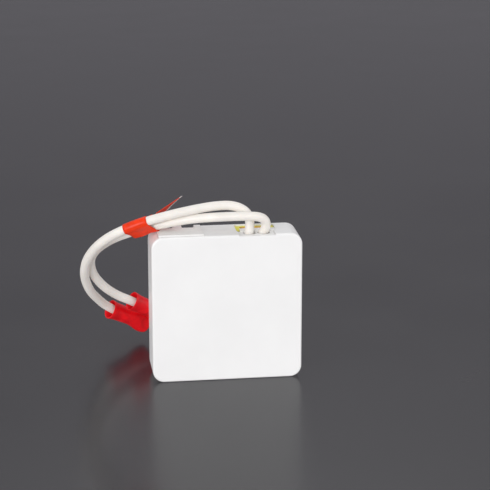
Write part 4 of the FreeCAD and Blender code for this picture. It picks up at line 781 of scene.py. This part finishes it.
class SWITCH_OT_label(bpy.types.Operator):
    """Marker label: a strip wound round both leads, and its loose end"""

    bl_idname = "switch.label"
    bl_label = "Marker label"

    def execute(self, context):
        settings = context.scene.switch_label
        lines = (lead_line(UPPER_POINTS), lead_line(LOWER_POINTS))
        centre, along = LABEL_CENTRE * MM, LABEL_AXIS.normalized()
        radius = context.scene.switch_leads.diameter / 2 + settings.thickness / 2 + LABEL_GAP * MM

        def section(station):
            """Middle of each lead at a place along the label, and directions across and out of the pair."""
            at = centre + along * station
            upper, lower = (crossing(line, at, along) for line in lines)
            across = (lower - upper).normalized()
            return upper, lower, across, along.cross(across)

        def wrapped(way, station):
            """Point of the wrap, this far from the top of the upper lead, down its front, round the lower."""
            upper, lower, across, out = section(station)
            spread, arc = (lower - upper).length, math.pi * radius
            way = way % (2 * (spread + arc))
            if way < arc:
                swing = way / radius
                return upper + radius * (out * math.cos(swing) - across * math.sin(swing))
            if way < arc + spread:
                return upper + across * (way - arc) - out * radius
            if way < 2 * arc + spread:
                swing = (way - arc - spread) / radius
                return lower + radius * (across * math.sin(swing) - out * math.cos(swing))
            return lower - across * (way - 2 * arc - spread) + out * radius

        upper, lower, across, out = section(0.0)
        around = 2 * ((lower - upper).length + math.pi * radius)
        under = around / 2  # where the film meets the lower lead from the front
        middle = (upper + lower) / 2
        bm = bmesh.new()
        bmesh.ops.create_grid(bm, x_segments=LABEL_ROWS, y_segments=LABEL_COLUMNS, size=0.5)
        for vert in bm.verts:
            way = (LABEL_START + (vert.co.x + 0.5) * LABEL_TURNS) * around
            lap = LABEL_LAP * MM if way > LABEL_LAP_START * around else 0.0
            climb = min(max(way - CLIMB_START * MM, 0.0), CLIMB_LENGTH * MM)
            station = vert.co.y * settings.width + settings.slant * climb - LABEL_SHIFT * MM
            point = wrapped(way, station)
            fade = min(1.0, max(0.3, 1.0 - station / (SAG_FADE * MM)))
            hang = settings.sag * fade * math.exp(-((way - under) / (SAG_SPREAD * MM)) ** 2)
            vert.co = point + (point - middle).normalized() * lap - out * hang
        flag = bmesh.ops.create_grid(bm, x_segments=FLAG_ROWS, y_segments=FLAG_COLUMNS, size=0.5)["verts"]
        bm.faces.ensure_lookup_table()
        # the last rows of the loose end take the pale finish: a painted highlight
        for face in bm.faces[-FLAG_ROWS * FLAG_COLUMNS:]:
            if face.calc_center_median().x > 0.5 - HIGHLIGHT_ROWS / FLAG_ROWS:
                face.material_index = 1
        tip, fall, run = FLAG_TIP * MM, FLAG_FALL * MM, FLAG_RUN.normalized()
        bends = (tip + run * FLAG_EDGES[0] * MM, tip + fall + run * FLAG_EDGES[1] * MM)
        directions = Matrix((along, across, out)).transposed()
        roots = [upper + directions @ place * MM for place in FLAG_ROOTS]
        leave, arrive = along * FLAG_PULL * MM, -run * FLAG_PULL * MM
        for vert in flag:
            share, side = vert.co.x + 0.5, vert.co.y + 0.5
            edges = []
            for root, bend, end in zip(roots, bends, (tip, tip + fall)):
                if share < FLAG_ROOT:
                    edges.append(curved(root, bend, leave, arrive, share / FLAG_ROOT))
                else:
                    edges.append(bend.lerp(end, (share - FLAG_ROOT) / (1.0 - FLAG_ROOT)))
            curl = out * math.sin(side * math.pi) * FLAG_CURL * MM
            vert.co = edges[0].lerp(edges[1], side) + curl * share
        bmesh.ops.recalc_face_normals(bm, faces=bm.faces)
        made = piece("marker_label_strip", bm, "film", "marker_label", 60.0)
        # pale finish for the loose end: a painted highlight
        made.data.materials.append(FINISHES["film_end_highlight"])
        wall = made.modifiers.new("Film", "SOLIDIFY")
        wall.thickness = settings.thickness
        wall.offset = 0.0
        return {"FINISHED"}


class SWITCH_OT_leads(bpy.types.Operator):
    """The two flying leads, which carry the connectors and the label"""

    bl_idname = "switch.leads"
    bl_label = "Leads"

    def execute(self, context):
        settings = context.scene.switch_leads
        for number, node, points, length in ((1, "lead_upper", UPPER_POINTS, settings.upper_length),
                                             (2, "lead_lower", LOWER_POINTS, settings.lower_length)):
            made = lead_curve(node + "_insulation", points, settings.diameter / 2)
            made.data.materials.append(FINISHES["insulation"])
            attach(made, frame["nodes"][node]["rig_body"])
            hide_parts(node)
        return {"FINISHED"}


class SWITCH_OT_inside(bpy.types.Operator):
    """Everything that keeps its form: metalwork, board, relay, supply and radio"""

    bl_idname = "switch.inside"
    bl_label = "Inside"

    def execute(self, context):
        for node, (finish, edge) in DRESSED.items():
            from_node(node, finish, edge)
        return {"FINISHED"}


class SWITCH_PT_panel(bpy.types.Panel):
    """Lists the steps that build the switch module"""

    bl_label = "Switch module"
    bl_idname = "SWITCH_PT_panel"
    bl_space_type = "VIEW_3D"
    bl_region_type = "UI"
    bl_category = "Switch"

    def draw(self, context):
        for operator in OPERATORS:
            self.layout.operator(operator.bl_idname)


OPERATORS = (SWITCH_OT_stage, SWITCH_OT_casing, SWITCH_OT_controls, SWITCH_OT_terminals, SWITCH_OT_capacitor,
             SWITCH_OT_inside, SWITCH_OT_connectors, SWITCH_OT_label, SWITCH_OT_leads)
SETTINGS = {"switch_casing": CasingSettings, "switch_leads": LeadSettings, "switch_label": LabelSettings,
            "switch_connectors": ConnectorSettings, "switch_stage": StageSettings}


def register():
    for group in SETTINGS.values():
        bpy.utils.register_class(group)
    for name, group in SETTINGS.items():
        setattr(bpy.types.Scene, name, PointerProperty(type=group))
    for operator in OPERATORS:
        bpy.utils.register_class(operator)
    bpy.utils.register_class(SWITCH_PT_panel)


def unregister():
    bpy.utils.unregister_class(SWITCH_PT_panel)
    for operator in reversed(OPERATORS):
        bpy.utils.unregister_class(operator)
    for name, group in SETTINGS.items():
        delattr(bpy.types.Scene, name)
        bpy.utils.unregister_class(group)


def main():
    register()
    scene = bpy.context.scene
    FINISHES.update(make_finishes(scene.switch_casing, scene.switch_leads, scene.switch_connectors,
                                  scene.switch_label))
    steps = bpy.ops.switch
    for step in (steps.stage, steps.casing, steps.controls, steps.terminals, steps.capacitor, steps.inside,
                 steps.connectors, steps.label, steps.leads):
        step()


if __name__ == "__main__":
    main()
